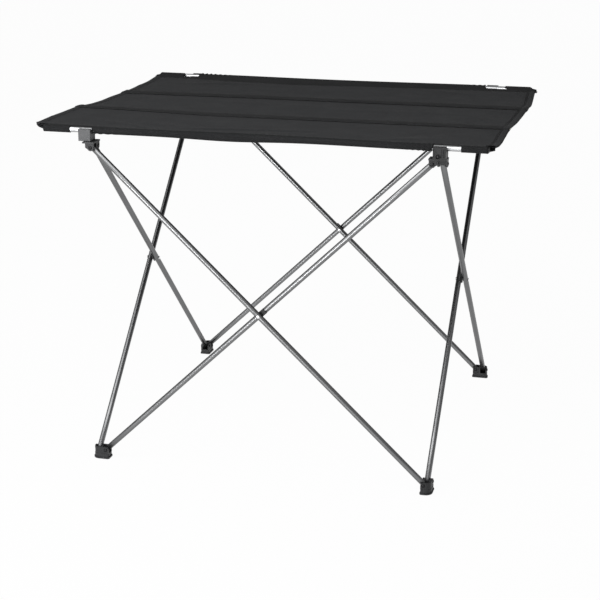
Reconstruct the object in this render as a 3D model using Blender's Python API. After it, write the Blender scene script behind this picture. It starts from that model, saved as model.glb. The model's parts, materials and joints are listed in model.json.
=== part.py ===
"""Folding camping table: a square four-sided scissor frame of aluminium tube, two rails that
rest in clips on the frame's four hubs, and a cloth top stretched between the rails.

Metres, +Z up, origin on the ground under the middle of the table, rails along X.
Corners count from the front left, anticlockwise seen from above; face k runs from corner k to
the next one. Each corner has its own local axes: u points along its face and v along the face
before it, both measured inwards from the corner where the two face planes meet.
"""
import bpy
from math import acos, atan2, cos, hypot, pi, radians, sin
from mathutils import Matrix, Vector
from mathutils.geometry import tessellate_polygon

CORNERS = ("front_left", "front_right", "rear_right", "rear_left")
FACES = ("front", "right", "rear", "left")

# Scissor frame
FRAME_HALF = 0.2576          # middle of the table to a face plane
PIVOT_INSET = 0.0080         # corner to the leg pivots beside it
FOOT_PIVOT_HEIGHT = 0.0140
RAIL_HEIGHT = 0.5135         # rail axis above the ground
RAIL_ABOVE_PIVOT = 0.0225    # rail axis above the hub's leg pivots

# Leg tubes, riveted through both walls at their ends and where they cross
LEG_DIAMETER = 0.0085
LEG_WALL = 0.00075
LEG_OVERHANG = 0.0034        # tube beyond the rivets at its ends
CROSS_SPACE = 0.0021         # between the two tubes where they cross
SIDES = 16                   # facets round a tube

# Fits
GAP = 0.0003                 # between touching pieces
LAP = 0.0005                 # overlap of the shapes that one moulding is joined from
BORE_GAP = 0.0004            # round a pin, to the corners of its facets
SWING_GAP = 0.0005           # round a tube's end, so that it can turn

# Rivets and screws
PIN_DIAMETER = 0.0030
HEAD_DIAMETER = 0.0054
HEAD_FLAT = 0.0032           # across the flat top of a head
HEAD_THICKNESS = 0.0010
PIN_SIDES = 10
BLIND_DEPTH = 0.0017         # how far a pin goes into the wall that two slots share

# Crossing spacer
SPACER_BELOW = 0.0045        # its reach from the rivet, down the inner tube and up it
SPACER_ABOVE = 0.0105
SPACER_PROUD = 0.0002        # edges beyond the tube
SPACER_TIPS = 0.0026         # edges end this far in front of the tube's axis
SPACER_CHAMFER = 0.0012

# Feet
FOOT_EAR = 0.0022
FOOT_EAR_RADIUS = 0.0044
FOOT_FRONT = 0.0035          # how far the foot reaches outside the face plane
FOOT_STEP = 0.0004           # outer faces of the ears inside the edge of the base
FOOT_ROUND = 0.0095          # rounding of the outer corner
FOOT_SMALL_ROUND = 0.0015
FOOT_BLOCK_DROP = 0.0020     # corner block below the tops of the ears
FLANGE_REACH = 0.0012
FLANGE_THICKNESS = 0.0022

# Hubs
HUB_EAR = 0.0026
HUB_EAR_RADIUS = 0.0050
HUB_EAR_TURN = radians(150)  # how far an ear's rounding runs
HUB_WEB_DROP = 0.0010        # bottom of the web between the slots, below the pivots
HUB_PLATE = 0.0022
HUB_LIP = 0.0003             # plate edge beyond the ears
POST_SIZE = 0.0070
POST_OUTSET = 0.0005         # post centre outside both face planes
POST_TOP_BELOW_RAIL = 0.0068

# Rails
RAIL_INSET = 0.0046          # front rail axis inside the front face plane
RAIL_DIAMETER = 0.0080
RAIL_WALL = 0.0008
RAIL_BOW = 0.0070            # how far the cloth pulls the middle of a rail inwards
RAIL_SHORT = 0.0050          # rail ends inside the ends of the sleeves
RAIL_PLUG_HEAD = 0.0020
RAIL_PLUG_STRAIGHT = 0.0012  # part of the head before its rounding
RAIL_PLUG_END_RADIUS = 0.0030
RAIL_PLUG_SPIGOT = 0.0100
RAIL_PLUG_SIDES = 12

# Rail clips
CLIP_OUTWARD = 0.0118        # clip end outside the side face plane
CLIP_INWARD = 0.0066
CLIP_FRONT = 0.0126          # rail axis to the outer wall's face
CLIP_BACK = 0.0069           # rail axis to the inner wall's face
CLIP_SLACK = 0.0029          # between the rail and the outer wall
CLIP_OUTER_TOP = 0.0036      # outer wall above the rail axis
CLIP_INNER_TOP = 0.0010
CLIP_CHAMFER = 0.0008
SCREW_BELOW_RAIL = 0.0104
SCREW_END_WALL = 0.0022      # plastic left in front of the screw's tip
BOSS_RADIUS = 0.0035
BOSS_HEIGHT = 0.0009
BOSS_SIDES = 14
PANEL_FROM_BOSS = 0.0018     # middle of the nearest panel from the boss's edge
PANEL_SPACING = 0.0035
PANEL_DEPTH = 0.0007
PANEL_WIDTH = 0.0022
PANEL_HEIGHT = 0.0110

# Cloth top
SHEET_OVERHANG = 0.0814      # side hems outside the side face planes
SLEEVE_SHORT = 0.0090        # ends of the sleeves inside the side hems
SHEET_THICKNESS = 0.0012
SLEEVE_THICKNESS = 0.0011
SEAM_INSET = 0.0220          # rail axis to the sleeve's seam
SEAM_WIDTH = 0.0033          # where the sleeve's two layers are sewn together
SHEET_SAG = 0.0025
EDGE_DROOP = 0.0035          # how far the side hems hang between the stiffeners
EDGE_DROOP_REACH = 0.0690    # hem to where the droop begins
EDGE_DROOP_STATION = 0.0276  # hem to a cross-section on the way
CENTRE_FLAT = 0.0350         # half of the level strip in the middle
SHEET_STEPS = 3              # facets from a band to the seam
BAND_SHARE = 0.328           # middle to each sewn band, as a share of that to the rail
BAND_HALF = 0.0130
BAND_TOP_HALF = 0.0095
BAND_SKIN = 0.0009           # cloth over and under a stiffener
NOTCH_INNER_GAP = 0.0030     # sleeve cut-outs: from the clip to the cut, inwards and outwards
NOTCH_OUTER_GAP = 0.0180
NOTCH_BACK_FRONT = 0.0012    # cut edge behind the front rail's axis, on top
NOTCH_BACK_REAR = 0.0150     # and behind the rear rail's, where the tube shows
NOTCH_UNDER = 0.0110         # and below
SLEEVE_STEPS = 7             # facets round a sleeve

# Stiffeners in the bands
STIFFENER_WIDTH = 0.0120
STIFFENER_THICKNESS = 0.0016
STIFFENER_SHORT = 0.0050     # its ends inside the side hems

# Worked out from the sizes above
LEG_RADIUS = LEG_DIAMETER / 2
PIN_RADIUS = PIN_DIAMETER / 2
BORE_RADIUS = PIN_RADIUS + BORE_GAP
LEG_OFFSET = (LEG_DIAMETER + CROSS_SPACE) / 2
PIVOT_HALF = FRAME_HALF - PIVOT_INSET
HUB_PIVOT_HEIGHT = RAIL_HEIGHT - RAIL_ABOVE_PIVOT
LEG_RISE = HUB_PIVOT_HEIGHT - FOOT_PIVOT_HEIGHT
SHEET_HALF = FRAME_HALF + SHEET_OVERHANG
SLEEVE_HALF = SHEET_HALF - SLEEVE_SHORT
RAIL_HALF_LENGTH = SLEEVE_HALF - RAIL_SHORT
STIFFENER_HALF = SHEET_HALF - STIFFENER_SHORT
EDGE_DROOP_START = SHEET_HALF - EDGE_DROOP_REACH
LEG_LENGTH = hypot(2 * PIVOT_HALF, LEG_RISE)
LEG_ANGLE = atan2(LEG_RISE, 2 * PIVOT_HALF)
MID_HEIGHT = (HUB_PIVOT_HEIGHT + FOOT_PIVOT_HEIGHT) / 2
SWING_RADIUS = hypot(LEG_OVERHANG, LEG_RADIUS) + SWING_GAP
SLOT_HALF = LEG_RADIUS + GAP
SHARED_LOW = SLOT_HALF - LEG_OFFSET
SHARED_HIGH = PIVOT_INSET - SWING_RADIUS
FOOT_FLOOR = FOOT_PIVOT_HEIGHT - SWING_RADIUS
PLATE_BOTTOM = SWING_RADIUS                       # above the hub's pivots, as is PLATE_TOP
PLATE_TOP = PLATE_BOTTOM + HUB_PLATE
RAIL_RADIUS = RAIL_DIAMETER / 2
RAIL_Y = FRAME_HALF - RAIL_INSET
CLIP_MIDDLE = FRAME_HALF + (CLIP_OUTWARD - CLIP_INWARD) / 2
CLIP_BOTTOM = PLATE_TOP + GAP - RAIL_ABOVE_PIVOT  # above the rail's axis, so below nought
BAND_OFFSET = BAND_SHARE * RAIL_Y
NOTCH_FROM = FRAME_HALF - CLIP_INWARD - NOTCH_INNER_GAP
NOTCH_TO = FRAME_HALF + CLIP_OUTWARD + NOTCH_OUTER_GAP
SLEEVE_INNER = RAIL_RADIUS + GAP
SLEEVE_OUTER = SLEEVE_INNER + SLEEVE_THICKNESS
SEAM_Y = RAIL_Y - SEAM_INSET
CAVITY_HALF = STIFFENER_THICKNESS / 2 + GAP


def clear_scene():
    for obj in list(bpy.data.objects):
        bpy.data.objects.remove(obj, do_unlink=True)


def material(name, colour, roughness, metallic=0.0):
    made = bpy.data.materials.get(name)
    if made:
        return made
    made = bpy.data.materials.new(name)
    made.use_nodes = True
    shader = made.node_tree.nodes["Principled BSDF"]
    shader.inputs["Base Color"].default_value = (*colour, 1.0)
    shader.inputs["Roughness"].default_value = roughness
    shader.inputs["Metallic"].default_value = metallic
    return made


def anodised():
    return material("grey_anodised_tube", (0.46, 0.47, 0.48), 0.28, 0.95)


def bright_tube():
    return material("bright_rail_tube", (0.78, 0.79, 0.80), 0.24, 0.95)


def steel():
    return material("plated_rivet_steel", (0.60, 0.60, 0.61), 0.35, 0.9)


def moulded():
    return material("black_moulded_nylon", (0.035, 0.036, 0.038), 0.48)


def hub_grey():
    return material("charcoal_clip_nylon", (0.075, 0.077, 0.080), 0.50)


def plug_black():
    return material("black_plug_nylon", (0.020, 0.020, 0.021), 0.55)


def cloth():
    return material("charcoal_oxford_cloth", (0.045, 0.046, 0.048), 0.85)


def glass_fibre():
    return material("glass_fibre_batten", (0.62, 0.60, 0.52), 0.45)


def mesh_object(name, vertices, faces, made_of):
    mesh = bpy.data.meshes.new(name)
    mesh.from_pydata([tuple(v) for v in vertices], [], faces)
    mesh.validate()
    mesh.materials.append(made_of)
    obj = bpy.data.objects.new(name, mesh)
    bpy.context.scene.collection.objects.link(obj)
    return obj


def signed_area(loop):
    pairs = zip(loop, loop[1:] + loop[:1])
    return sum(a[0] * b[1] - b[0] * a[1] for a, b in pairs) / 2


def layered_solid(name, loops, levels, place, made_of):
    """A closed solid through the levels: loops[0] is the outline and the rest are holes."""
    outline = loops[0] if signed_area(loops[0]) > 0 else loops[0][::-1]
    holes = [h if signed_area(h) < 0 else h[::-1] for h in loops[1:]]
    rings = [outline] + holes
    flat = [point for ring in rings for point in ring]
    count = len(flat)
    vertices = [place(a, b, level) for level in levels for a, b in flat]
    faces = []
    for layer in range(len(levels) - 1):
        low, high = layer * count, (layer + 1) * count
        start = 0
        for ring in rings:
            size = len(ring)
            for i in range(size):
                j = (i + 1) % size
                faces.append((low + start + i, low + start + j, high + start + j, high + start + i))
            start += size
    top = (len(levels) - 1) * count
    for a, b, c in tessellate_polygon([[Vector((p[0], p[1], 0)) for p in ring] for ring in rings]):
        area = signed_area([flat[a], flat[b], flat[c]])
        if area < 0:
            b, c = c, b
        faces.append((a, c, b))
        faces.append((top + a, top + b, top + c))
    return mesh_object(name, vertices, faces, made_of)


def prism(name, loops, low, high, made_of, along="z"):
    """Loops drawn in the plane square to `along`, filled and drawn out from low to high."""
    # The three placings keep a right-handed order, so that the faces point out
    placings = {
        "z": lambda a, b, level: (a, b, level),
        "x": lambda a, b, level: (level, a, b),
        "y": lambda a, b, level: (b, level, a),
    }
    return layered_solid(name, loops, (low, high), placings[along], made_of)


def swap(loop):
    return [(b, a) for a, b in loop]


def box(name, low, high, made_of):
    outline = [(low[0], low[1]), (high[0], low[1]), (high[0], high[1]), (low[0], high[1])]
    return prism(name, [outline], low[2], high[2], made_of)


def circle(centre, radius, sides, turn=0.5):
    angles = [2 * pi * (i + turn) / sides for i in range(sides)]
    return [(centre[0] + radius * cos(a), centre[1] + radius * sin(a)) for a in angles]


def arc(centre, radius, start, end, steps):
    angles = [start + (end - start) * i / steps for i in range(steps + 1)]
    return [(centre[0] + radius * cos(a), centre[1] + radius * sin(a)) for a in angles]


def combine(target, tool, operation):
    """Join a tool to the target or cut it away, leaving one plain mesh."""
    modifier = target.modifiers.new(operation.lower(), "BOOLEAN")
    modifier.operation = operation
    modifier.solver = "EXACT"
    modifier.object = tool
    bpy.context.view_layer.update()
    evaluated = target.evaluated_get(bpy.context.evaluated_depsgraph_get())
    result = bpy.data.meshes.new_from_object(evaluated)
    target.modifiers.clear()
    target.data = result
    bpy.data.objects.remove(tool, do_unlink=True)
    return target


def join(target, *tools):
    for tool in tools:
        combine(target, tool, "UNION")
    return target


def cut(target, *tools):
    for tool in tools:
        combine(target, tool, "DIFFERENCE")
    return target


def smooth(obj, degrees=35):
    obj.data.shade_smooth()
    obj.data.set_sharp_from_angle(angle=radians(degrees))
    return obj


def move_mesh(obj, matrix):
    obj.data.transform(matrix)
    return obj


def copy_of(source, name):
    obj = bpy.data.objects.new(name, source.data)
    bpy.context.scene.collection.objects.link(obj)
    return obj


def corner_matrix(corner):
    """Local u, v, z of a corner into the table's own axes."""
    return Matrix.Rotation(corner * pi / 2, 4, "Z") @ Matrix.Translation((-FRAME_HALF, -FRAME_HALF, 0))


def face_matrix(face):
    return Matrix.Rotation(face * pi / 2, 4, "Z")


def joint_empty(name, point, parent=None):
    empty = bpy.data.objects.new(name, None)
    empty.empty_display_size = 0.02
    bpy.context.scene.collection.objects.link(empty)
    empty.parent = parent
    empty.matrix_world = Matrix.Translation(point)
    bpy.context.view_layer.update()
    return empty


def seat(obj, world, empty):
    """Place an object under the empty of its body, keeping its place in the world."""
    obj.parent = empty
    obj.matrix_parent_inverse = Matrix.Identity(4)
    obj.matrix_basis = empty.matrix_world.inverted() @ world
    return obj


def lathe(name, profile, sides, made_of, along):
    """Turn (radius, height) points round an axis; the first and last points lie on it."""
    placings = {"x": lambda a, b, h: (h, a, b), "y": lambda a, b, h: (b, h, a)}
    place = placings[along]
    vertices = [place(0.0, 0.0, profile[0][1])]
    for radius, height in profile[1:-1]:
        vertices += [place(a, b, height) for a, b in circle((0, 0), radius, sides)]
    vertices.append(place(0.0, 0.0, profile[-1][1]))
    rings = len(profile) - 2
    last = len(vertices) - 1
    faces = []
    for i in range(sides):
        j = (i + 1) % sides
        faces.append((0, 1 + j, 1 + i))
        for ring in range(rings - 1):
            low, high = 1 + ring * sides, 1 + (ring + 1) * sides
            faces.append((low + i, low + j, high + j, high + i))
        top = 1 + (rings - 1) * sides
        faces.append((top + i, top + j, last))
    return mesh_object(name, vertices, faces, made_of)


# Legs, rivets and spacers

def leg_tube(name, made_of):
    """A tube along x with a hole across it at each end and in the middle."""
    half = LEG_LENGTH / 2 + LEG_OVERHANG
    rings = [circle((0, 0), LEG_RADIUS, SIDES), circle((0, 0), LEG_RADIUS - LEG_WALL, SIDES)]
    tube = prism(name, rings, -half, half, made_of, along="x")
    for at in (-LEG_LENGTH / 2, 0.0, LEG_LENGTH / 2):
        hole = [circle((0, at), BORE_RADIUS, PIN_SIDES)]
        cut(tube, prism("drill", hole, -LEG_DIAMETER, LEG_DIAMETER, made_of, along="y"))
    return smooth(tube)


def rivet(name, start, end, heads, along):
    """A pin from start to end on an axis through the origin, with a domed head at those ends."""
    radius = HEAD_DIAMETER / 2
    low, high = start - HEAD_THICKNESS, end + HEAD_THICKNESS
    low_head = [(0.0, low), (HEAD_FLAT / 2, low), (radius, start)]
    high_head = [(radius, end), (HEAD_FLAT / 2, high), (0.0, high)]
    profile = low_head if "start" in heads else [(0.0, start)]
    profile = profile + [(PIN_RADIUS, start), (PIN_RADIUS, end)]
    profile = profile + (high_head if "end" in heads else [(0.0, end)])
    return smooth(lathe(name, profile, PIN_SIDES, steel(), along))


def crossing_rivet():
    reach = LEG_OFFSET + LEG_RADIUS + GAP
    return rivet("crossing_rivet", -reach, reach, ("start", "end"), "y")


def crossing_spacer():
    """A saddle on the inner tube, flat towards the outer one so that it can turn past."""
    flat = LEG_RADIUS + GAP - LEG_OFFSET
    inside = LEG_RADIUS + GAP
    edge = LEG_RADIUS + SPACER_PROUD
    opening = acos(SPACER_TIPS / inside)
    outline = [(flat, SPACER_CHAMFER - edge), (flat, edge - SPACER_CHAMFER), (flat + SPACER_CHAMFER, edge)]
    outline.append((LEG_OFFSET - SPACER_TIPS, edge))
    outline += arc((LEG_OFFSET, 0), inside, pi - opening, pi + opening, 8)
    outline += [(LEG_OFFSET - SPACER_TIPS, -edge), (flat + SPACER_CHAMFER, -edge)]
    saddle = prism("crossing_spacer", [outline], -SPACER_BELOW, SPACER_ABOVE, moulded(), along="x")
    hole = [circle((0, 0), BORE_RADIUS, PIN_SIDES)]
    return smooth(cut(saddle, prism("drill", hole, -LEG_OFFSET, LEG_OFFSET, moulded(), along="y")))


# Feet

def ear_above(pivot, radius, back, bottom):
    """Side view of an ear that stands on `bottom`: (across, up), rounded about the pivot."""
    across, height = pivot
    outline = [(back, bottom), (across + radius, bottom)]
    outline += arc(pivot, radius, 0, pi / 2, 5)
    return outline + [(back, height + radius)]


def ear_below(pivot, radius, back, top):
    """Side view of an ear that hangs from `top`, rounded about the pivot."""
    across, height = pivot
    outline = [(back, top), (across + radius, top)]
    outline += arc(pivot, radius, 0, -HUB_EAR_TURN, 7)
    return outline + [(back, height)]


def foot_plan(reach):
    """Outline of the base in u and v, with one large rounding on the outer corner."""
    low_u = -LEG_OFFSET - SLOT_HALF - FOOT_EAR - FOOT_STEP - reach
    low_v = -FOOT_FRONT - reach
    high = max(PIVOT_INSET + FOOT_EAR_RADIUS, LEG_OFFSET + SLOT_HALF + FOOT_EAR) + reach
    rounding = FOOT_ROUND + reach
    small = FOOT_SMALL_ROUND + reach
    plan = arc((low_u + rounding, low_v + rounding), rounding, pi, 3 * pi / 2, 6)
    plan += arc((high - small, low_v + small), small, -pi / 2, 0, 2)
    plan += arc((high - small, high - small), small, 0, pi / 2, 2)
    plan += arc((low_u + small, high - small), small, pi / 2, pi, 2)
    return plan


def corner_trim(low_u, low_v, top):
    """What the rounding of the outer corner takes off the ears above the base."""
    rounding = FOOT_ROUND - FOOT_STEP
    plan = arc((low_u + rounding, low_v + rounding), rounding, pi, 3 * pi / 2, 6)
    plan += [(low_u + rounding, low_v - LAP), (low_u - LAP, low_v - LAP), (low_u - LAP, low_v + rounding)]
    return prism("trim", [plan], 0, top + LAP, moulded())


def foot():
    """A moulded foot in local corner axes: two leg slots side by side on a flanged base."""
    pivot = (PIVOT_INSET, FOOT_PIVOT_HEIGHT)
    root = FOOT_FLOOR - LAP
    outer_face = -LEG_OFFSET - SLOT_HALF
    inner_face = LEG_OFFSET + SLOT_HALF
    front = FOOT_STEP - FOOT_FRONT
    top = FOOT_PIVOT_HEIGHT + FOOT_EAR_RADIUS
    across = ear_above(pivot, FOOT_EAR_RADIUS, front, root)
    body = prism("foot", [across], outer_face - FOOT_EAR, outer_face, moulded(), along="x")
    shared = prism("shared", [across], SHARED_LOW, SHARED_HIGH, moulded(), along="x")
    along = swap(ear_above(pivot, FOOT_EAR_RADIUS, outer_face - LAP, root))
    front_ear = prism("front_ear", [along], front, -SHARED_LOW, moulded(), along="y")
    short = swap(ear_above(pivot, FOOT_EAR_RADIUS, SHARED_LOW + LAP / 2, root))
    back_ear = prism("back_ear", [short], inner_face, inner_face + FOOT_EAR, moulded(), along="y")
    block = box("block", (outer_face - LAP, front + FOOT_EAR / 2, root),
                (SHARED_LOW + LAP, SHARED_HIGH, top - FOOT_BLOCK_DROP), moulded())
    join(body, front_ear, block)
    cut(body, corner_trim(outer_face - FOOT_EAR, front, top))
    base = prism("base", [foot_plan(0)], 0, FOOT_FLOOR, moulded())
    flange = prism("flange", [foot_plan(FLANGE_REACH)], 0, FLANGE_THICKNESS, moulded())
    join(body, base, flange, shared, back_ear)
    return smooth(cut(body, *foot_bores()))


def foot_bores():
    reach = LEG_OFFSET + SLOT_HALF + 2 * FOOT_EAR + FOOT_FRONT
    hole = [circle((FOOT_PIVOT_HEIGHT, PIVOT_INSET), BORE_RADIUS, PIN_SIDES)]
    through = prism("through", hole, -reach, reach, moulded(), along="y")
    side_hole = [circle((PIVOT_INSET, FOOT_PIVOT_HEIGHT), BORE_RADIUS, PIN_SIDES)]
    blind_end = SHARED_LOW + BLIND_DEPTH + GAP
    blind = prism("blind", side_hole, -reach, blind_end, moulded(), along="x")
    return through, blind


def foot_inner_rivet():
    """Through the foot and the inner leg of the foot's own face, with a head at both ends."""
    back = LEG_OFFSET + SLOT_HALF + FOOT_EAR + GAP
    front = FOOT_STEP - FOOT_FRONT - GAP
    pin = rivet("foot_inner_rivet", front, back, ("start", "end"), "y")
    return move_mesh(pin, Matrix.Translation((PIVOT_INSET, 0, FOOT_PIVOT_HEIGHT)))


def foot_outer_rivet():
    """Through the other leg and into the wall between the slots."""
    start = -LEG_OFFSET - SLOT_HALF - FOOT_EAR - GAP
    pin = rivet("foot_outer_rivet", start, SHARED_LOW + BLIND_DEPTH, ("start",), "x")
    return move_mesh(pin, Matrix.Translation((0, PIVOT_INSET, FOOT_PIVOT_HEIGHT)))


# Hubs

def hub(name, drilled_along):
    """A moulded hub, with heights from its pivots: leg slots under a plate, and on it the square
    post that carries the rail clip."""
    pivot = (PIVOT_INSET, 0.0)
    roof = PLATE_BOTTOM + LAP
    outer_slot = -LEG_OFFSET - SLOT_HALF
    inner_slot = LEG_OFFSET + SLOT_HALF
    near_slot = LEG_OFFSET - SLOT_HALF
    post_low = -POST_OUTSET - POST_SIZE / 2
    post_high = -POST_OUTSET + POST_SIZE / 2
    far_edge = max(inner_slot + HUB_EAR, PIVOT_INSET + HUB_EAR_RADIUS) + HUB_LIP
    plate_low = (min(post_low, near_slot - HUB_EAR) - HUB_LIP, outer_slot - HUB_EAR - HUB_LIP)
    plate = box(name, (*plate_low, PLATE_BOTTOM), (far_edge, far_edge, PLATE_TOP), moulded())
    side = swap(ear_below(pivot, HUB_EAR_RADIUS, 0.0, roof))
    outer_ear = prism("outer_ear", [side], outer_slot - HUB_EAR, outer_slot, moulded(), along="y")
    shared = prism("shared", [side], SHARED_LOW, SHARED_HIGH, moulded(), along="y")
    web = box("web", (LAP / 2, outer_slot - LAP, -HUB_WEB_DROP),
              (SHARED_HIGH, SHARED_LOW + LAP, roof - LAP / 2), moulded())
    across = ear_below(pivot, HUB_EAR_RADIUS, SHARED_LOW + LAP / 2, roof - LAP / 4)
    near_ear = prism("near_ear", [across], near_slot - HUB_EAR, near_slot, moulded(), along="x")
    far_ear = prism("far_ear", [across], inner_slot, inner_slot + HUB_EAR, moulded(), along="x")
    post_top = RAIL_ABOVE_PIVOT - POST_TOP_BELOW_RAIL
    post = box("post", (post_low, post_low, PLATE_TOP - LAP), (post_high, post_high, post_top), moulded())
    join(plate, outer_ear, shared, web, near_ear, far_ear, post)
    return smooth(cut(plate, *hub_bores(drilled_along)))


def hub_bores(drilled_along):
    """Bores of both legs' rivets, and of the clip's screw along u or v through the post."""
    reach = 2 * (LEG_OFFSET + SLOT_HALF + HUB_EAR)
    hole = [circle((0.0, PIVOT_INSET), BORE_RADIUS, PIN_SIDES)]
    blind = prism("blind", hole, -reach, SHARED_LOW + BLIND_DEPTH + GAP, moulded(), along="y")
    side_hole = [circle((PIVOT_INSET, 0.0), BORE_RADIUS, PIN_SIDES)]
    through = prism("through", side_hole, -reach, reach, moulded(), along="x")
    height = RAIL_ABOVE_PIVOT - SCREW_BELOW_RAIL
    if drilled_along == "v":
        post_hole = [circle((height, -POST_OUTSET), BORE_RADIUS, PIN_SIDES)]
        screw = prism("screw", post_hole, -POST_SIZE, POST_SIZE, moulded(), along="y")
    else:
        post_hole = [circle((-POST_OUTSET, height), BORE_RADIUS, PIN_SIDES)]
        screw = prism("screw", post_hole, -POST_SIZE, POST_SIZE, moulded(), along="x")
    return blind, through, screw


def hub_outer_rivet():
    """Through the outer leg and into the wall between the slots."""
    start = -LEG_OFFSET - SLOT_HALF - HUB_EAR - GAP
    pin = rivet("hub_outer_rivet", start, SHARED_LOW + BLIND_DEPTH, ("start",), "y")
    return move_mesh(pin, Matrix.Translation((PIVOT_INSET, 0, 0)))


def hub_inner_rivet():
    """Through the inner leg and both of its ears, with a head at both ends."""
    start = LEG_OFFSET - SLOT_HALF - HUB_EAR - GAP
    end = LEG_OFFSET + SLOT_HALF + HUB_EAR + GAP
    pin = rivet("hub_inner_rivet", start, end, ("start", "end"), "x")
    return move_mesh(pin, Matrix.Translation((0, PIVOT_INSET, 0)))


# Rail clips, drawn with the rail's axis as the origin: x runs out along the rail, y outwards

def clip_outline():
    channel = RAIL_RADIUS + GAP
    slack_face = RAIL_RADIUS + CLIP_SLACK
    outline = [(-CLIP_BACK, CLIP_BOTTOM), (CLIP_FRONT, CLIP_BOTTOM)]
    outline += [(CLIP_FRONT, CLIP_OUTER_TOP - CLIP_CHAMFER), (CLIP_FRONT - CLIP_CHAMFER, CLIP_OUTER_TOP)]
    outline += [(slack_face, CLIP_OUTER_TOP), (slack_face, -channel)]
    outline += arc((0, 0), channel, -pi / 2, -pi, 5)
    outline += [(-channel, CLIP_INNER_TOP), (-CLIP_BACK, CLIP_INNER_TOP)]
    return outline


def screw_span(boss_outward):
    """Wall face on the screw's side, the way out of it (1 or -1), and where its bore ends."""
    if boss_outward:
        return CLIP_FRONT, 1, SCREW_END_WALL - CLIP_BACK
    return -CLIP_BACK, -1, CLIP_FRONT - SCREW_END_WALL


def round_cut(name, centre, radius, start, end, sides=PIN_SIDES):
    low, high = sorted((start, end))
    return prism(name, [circle(centre, radius, sides)], low, high, hub_grey(), along="y")


def clip(name, boss_outward):
    """A U-shaped rail clip with a pocket for the hub's post and a ring boss round its screw."""
    post_y = RAIL_INSET + POST_OUTSET
    body = prism(name, [clip_outline()], -CLIP_INWARD, CLIP_OUTWARD, hub_grey(), along="x")
    reach = POST_SIZE / 2 + GAP
    pocket_top = GAP - POST_TOP_BELOW_RAIL
    pocket_low = (POST_OUTSET - reach, post_y - reach, CLIP_BOTTOM - LAP)
    pocket = box("pocket", pocket_low, (POST_OUTSET + reach, post_y + reach, pocket_top), hub_grey())
    wall_face, side, bore_end = screw_span(boss_outward)
    boss_face = wall_face + side * BOSS_HEIGHT
    centre = (-SCREW_BELOW_RAIL, POST_OUTSET)
    boss = round_cut("boss", centre, BOSS_RADIUS, wall_face - side * LAP, boss_face, BOSS_SIDES)
    well_floor = wall_face - side * HEAD_THICKNESS
    well = round_cut("well", centre, HEAD_DIAMETER / 2 + GAP, well_floor, boss_face + side * LAP)
    bore = round_cut("bore", centre, BORE_RADIUS, boss_face, bore_end)
    join(body, boss)
    cut(body, pocket, well, bore, *clip_panels(side, wall_face))
    return smooth(body)


def clip_panels(side, wall_face):
    """Shallow upright panels beside the boss, which leave ribs between them."""
    wall_top = CLIP_OUTER_TOP if side > 0 else CLIP_INNER_TOP
    middle = (wall_top + CLIP_BOTTOM) / 2
    beside = BOSS_RADIUS + PANEL_FROM_BOSS
    panels = []
    for at in (POST_OUTSET + beside, POST_OUTSET + beside + PANEL_SPACING, POST_OUTSET - beside):
        near, far = sorted((wall_face - side * PANEL_DEPTH, wall_face + side * LAP))
        low = (at - PANEL_WIDTH / 2, near, middle - PANEL_HEIGHT / 2)
        high = (at + PANEL_WIDTH / 2, far, middle + PANEL_HEIGHT / 2)
        panels.append(box("panel", low, high, hub_grey()))
    return panels


def clip_screw(name, boss_outward):
    wall_face, side, bore_end = screw_span(boss_outward)
    under_head = wall_face - side * (HEAD_THICKNESS - GAP)
    tip = bore_end + side * GAP
    start, end = sorted((under_head, tip))
    screw = rivet(name, start, end, ("end",) if boss_outward else ("start",), "y")
    return move_mesh(screw, Matrix.Translation((POST_OUTSET, 0, -SCREW_BELOW_RAIL)))


# Rails

def bow(x):
    """How far the rail is pulled inwards at x: nothing at the clips, most in the middle."""
    if abs(x) >= CLIP_MIDDLE:
        return 0.0
    return RAIL_BOW * (1 + cos(pi * x / CLIP_MIDDLE)) / 2


def rail_levels():
    """Stations along a rail: its ends, and even steps where it bows."""
    steps = 5
    inner = [CLIP_MIDDLE * i / steps for i in range(-steps, steps + 1)]
    return [-RAIL_HALF_LENGTH] + inner + [RAIL_HALF_LENGTH]


def rail(name, side):
    rings = [circle((0, 0), RAIL_RADIUS, SIDES), circle((0, 0), RAIL_RADIUS - RAIL_WALL, SIDES)]

    def place(across, up, x):
        return x, side * (RAIL_Y - bow(x)) + across, RAIL_HEIGHT + up
    tube = layered_solid(name, rings, rail_levels(), place, bright_tube())
    return smooth(tube)


def rail_plug(name, side, end):
    """An end plug of a rail: a spigot inside the tube and a head over its rim."""
    spigot_radius = RAIL_RADIUS - RAIL_WALL - GAP
    inner_end = RAIL_HALF_LENGTH - RAIL_PLUG_SPIGOT
    rim = RAIL_HALF_LENGTH + GAP
    outer = rim + RAIL_PLUG_HEAD
    profile = [(0.0, inner_end), (spigot_radius, inner_end), (spigot_radius, rim), (RAIL_RADIUS, rim),
               (RAIL_RADIUS, rim + RAIL_PLUG_STRAIGHT), (RAIL_PLUG_END_RADIUS, outer), (0.0, outer)]
    plug = lathe(name, profile, RAIL_PLUG_SIDES, plug_black(), "x")
    if end < 0:
        move_mesh(plug, Matrix.Rotation(pi, 4, "Z"))
    smooth(plug)
    return move_mesh(plug, Matrix.Translation((0, side * RAIL_Y, RAIL_HEIGHT)))


# Cloth top

def tangent(point, radius, above):
    """Angle on a circle at the origin where the line from the point touches it."""
    distance = hypot(*point)
    spread = acos(radius / distance)
    towards = atan2(point[1], point[0])
    return towards + spread if above else towards - spread


def sheet_height(y):
    """Height of the sheet's middle over the rail axis: level in the centre, rising to the seams."""
    if abs(y) <= CENTRE_FLAT:
        return -SHEET_SAG
    share = min((abs(y) - CENTRE_FLAT) / (SEAM_Y - CENTRE_FLAT), 1.0)
    return -SHEET_SAG * (1 - share * share)


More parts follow.
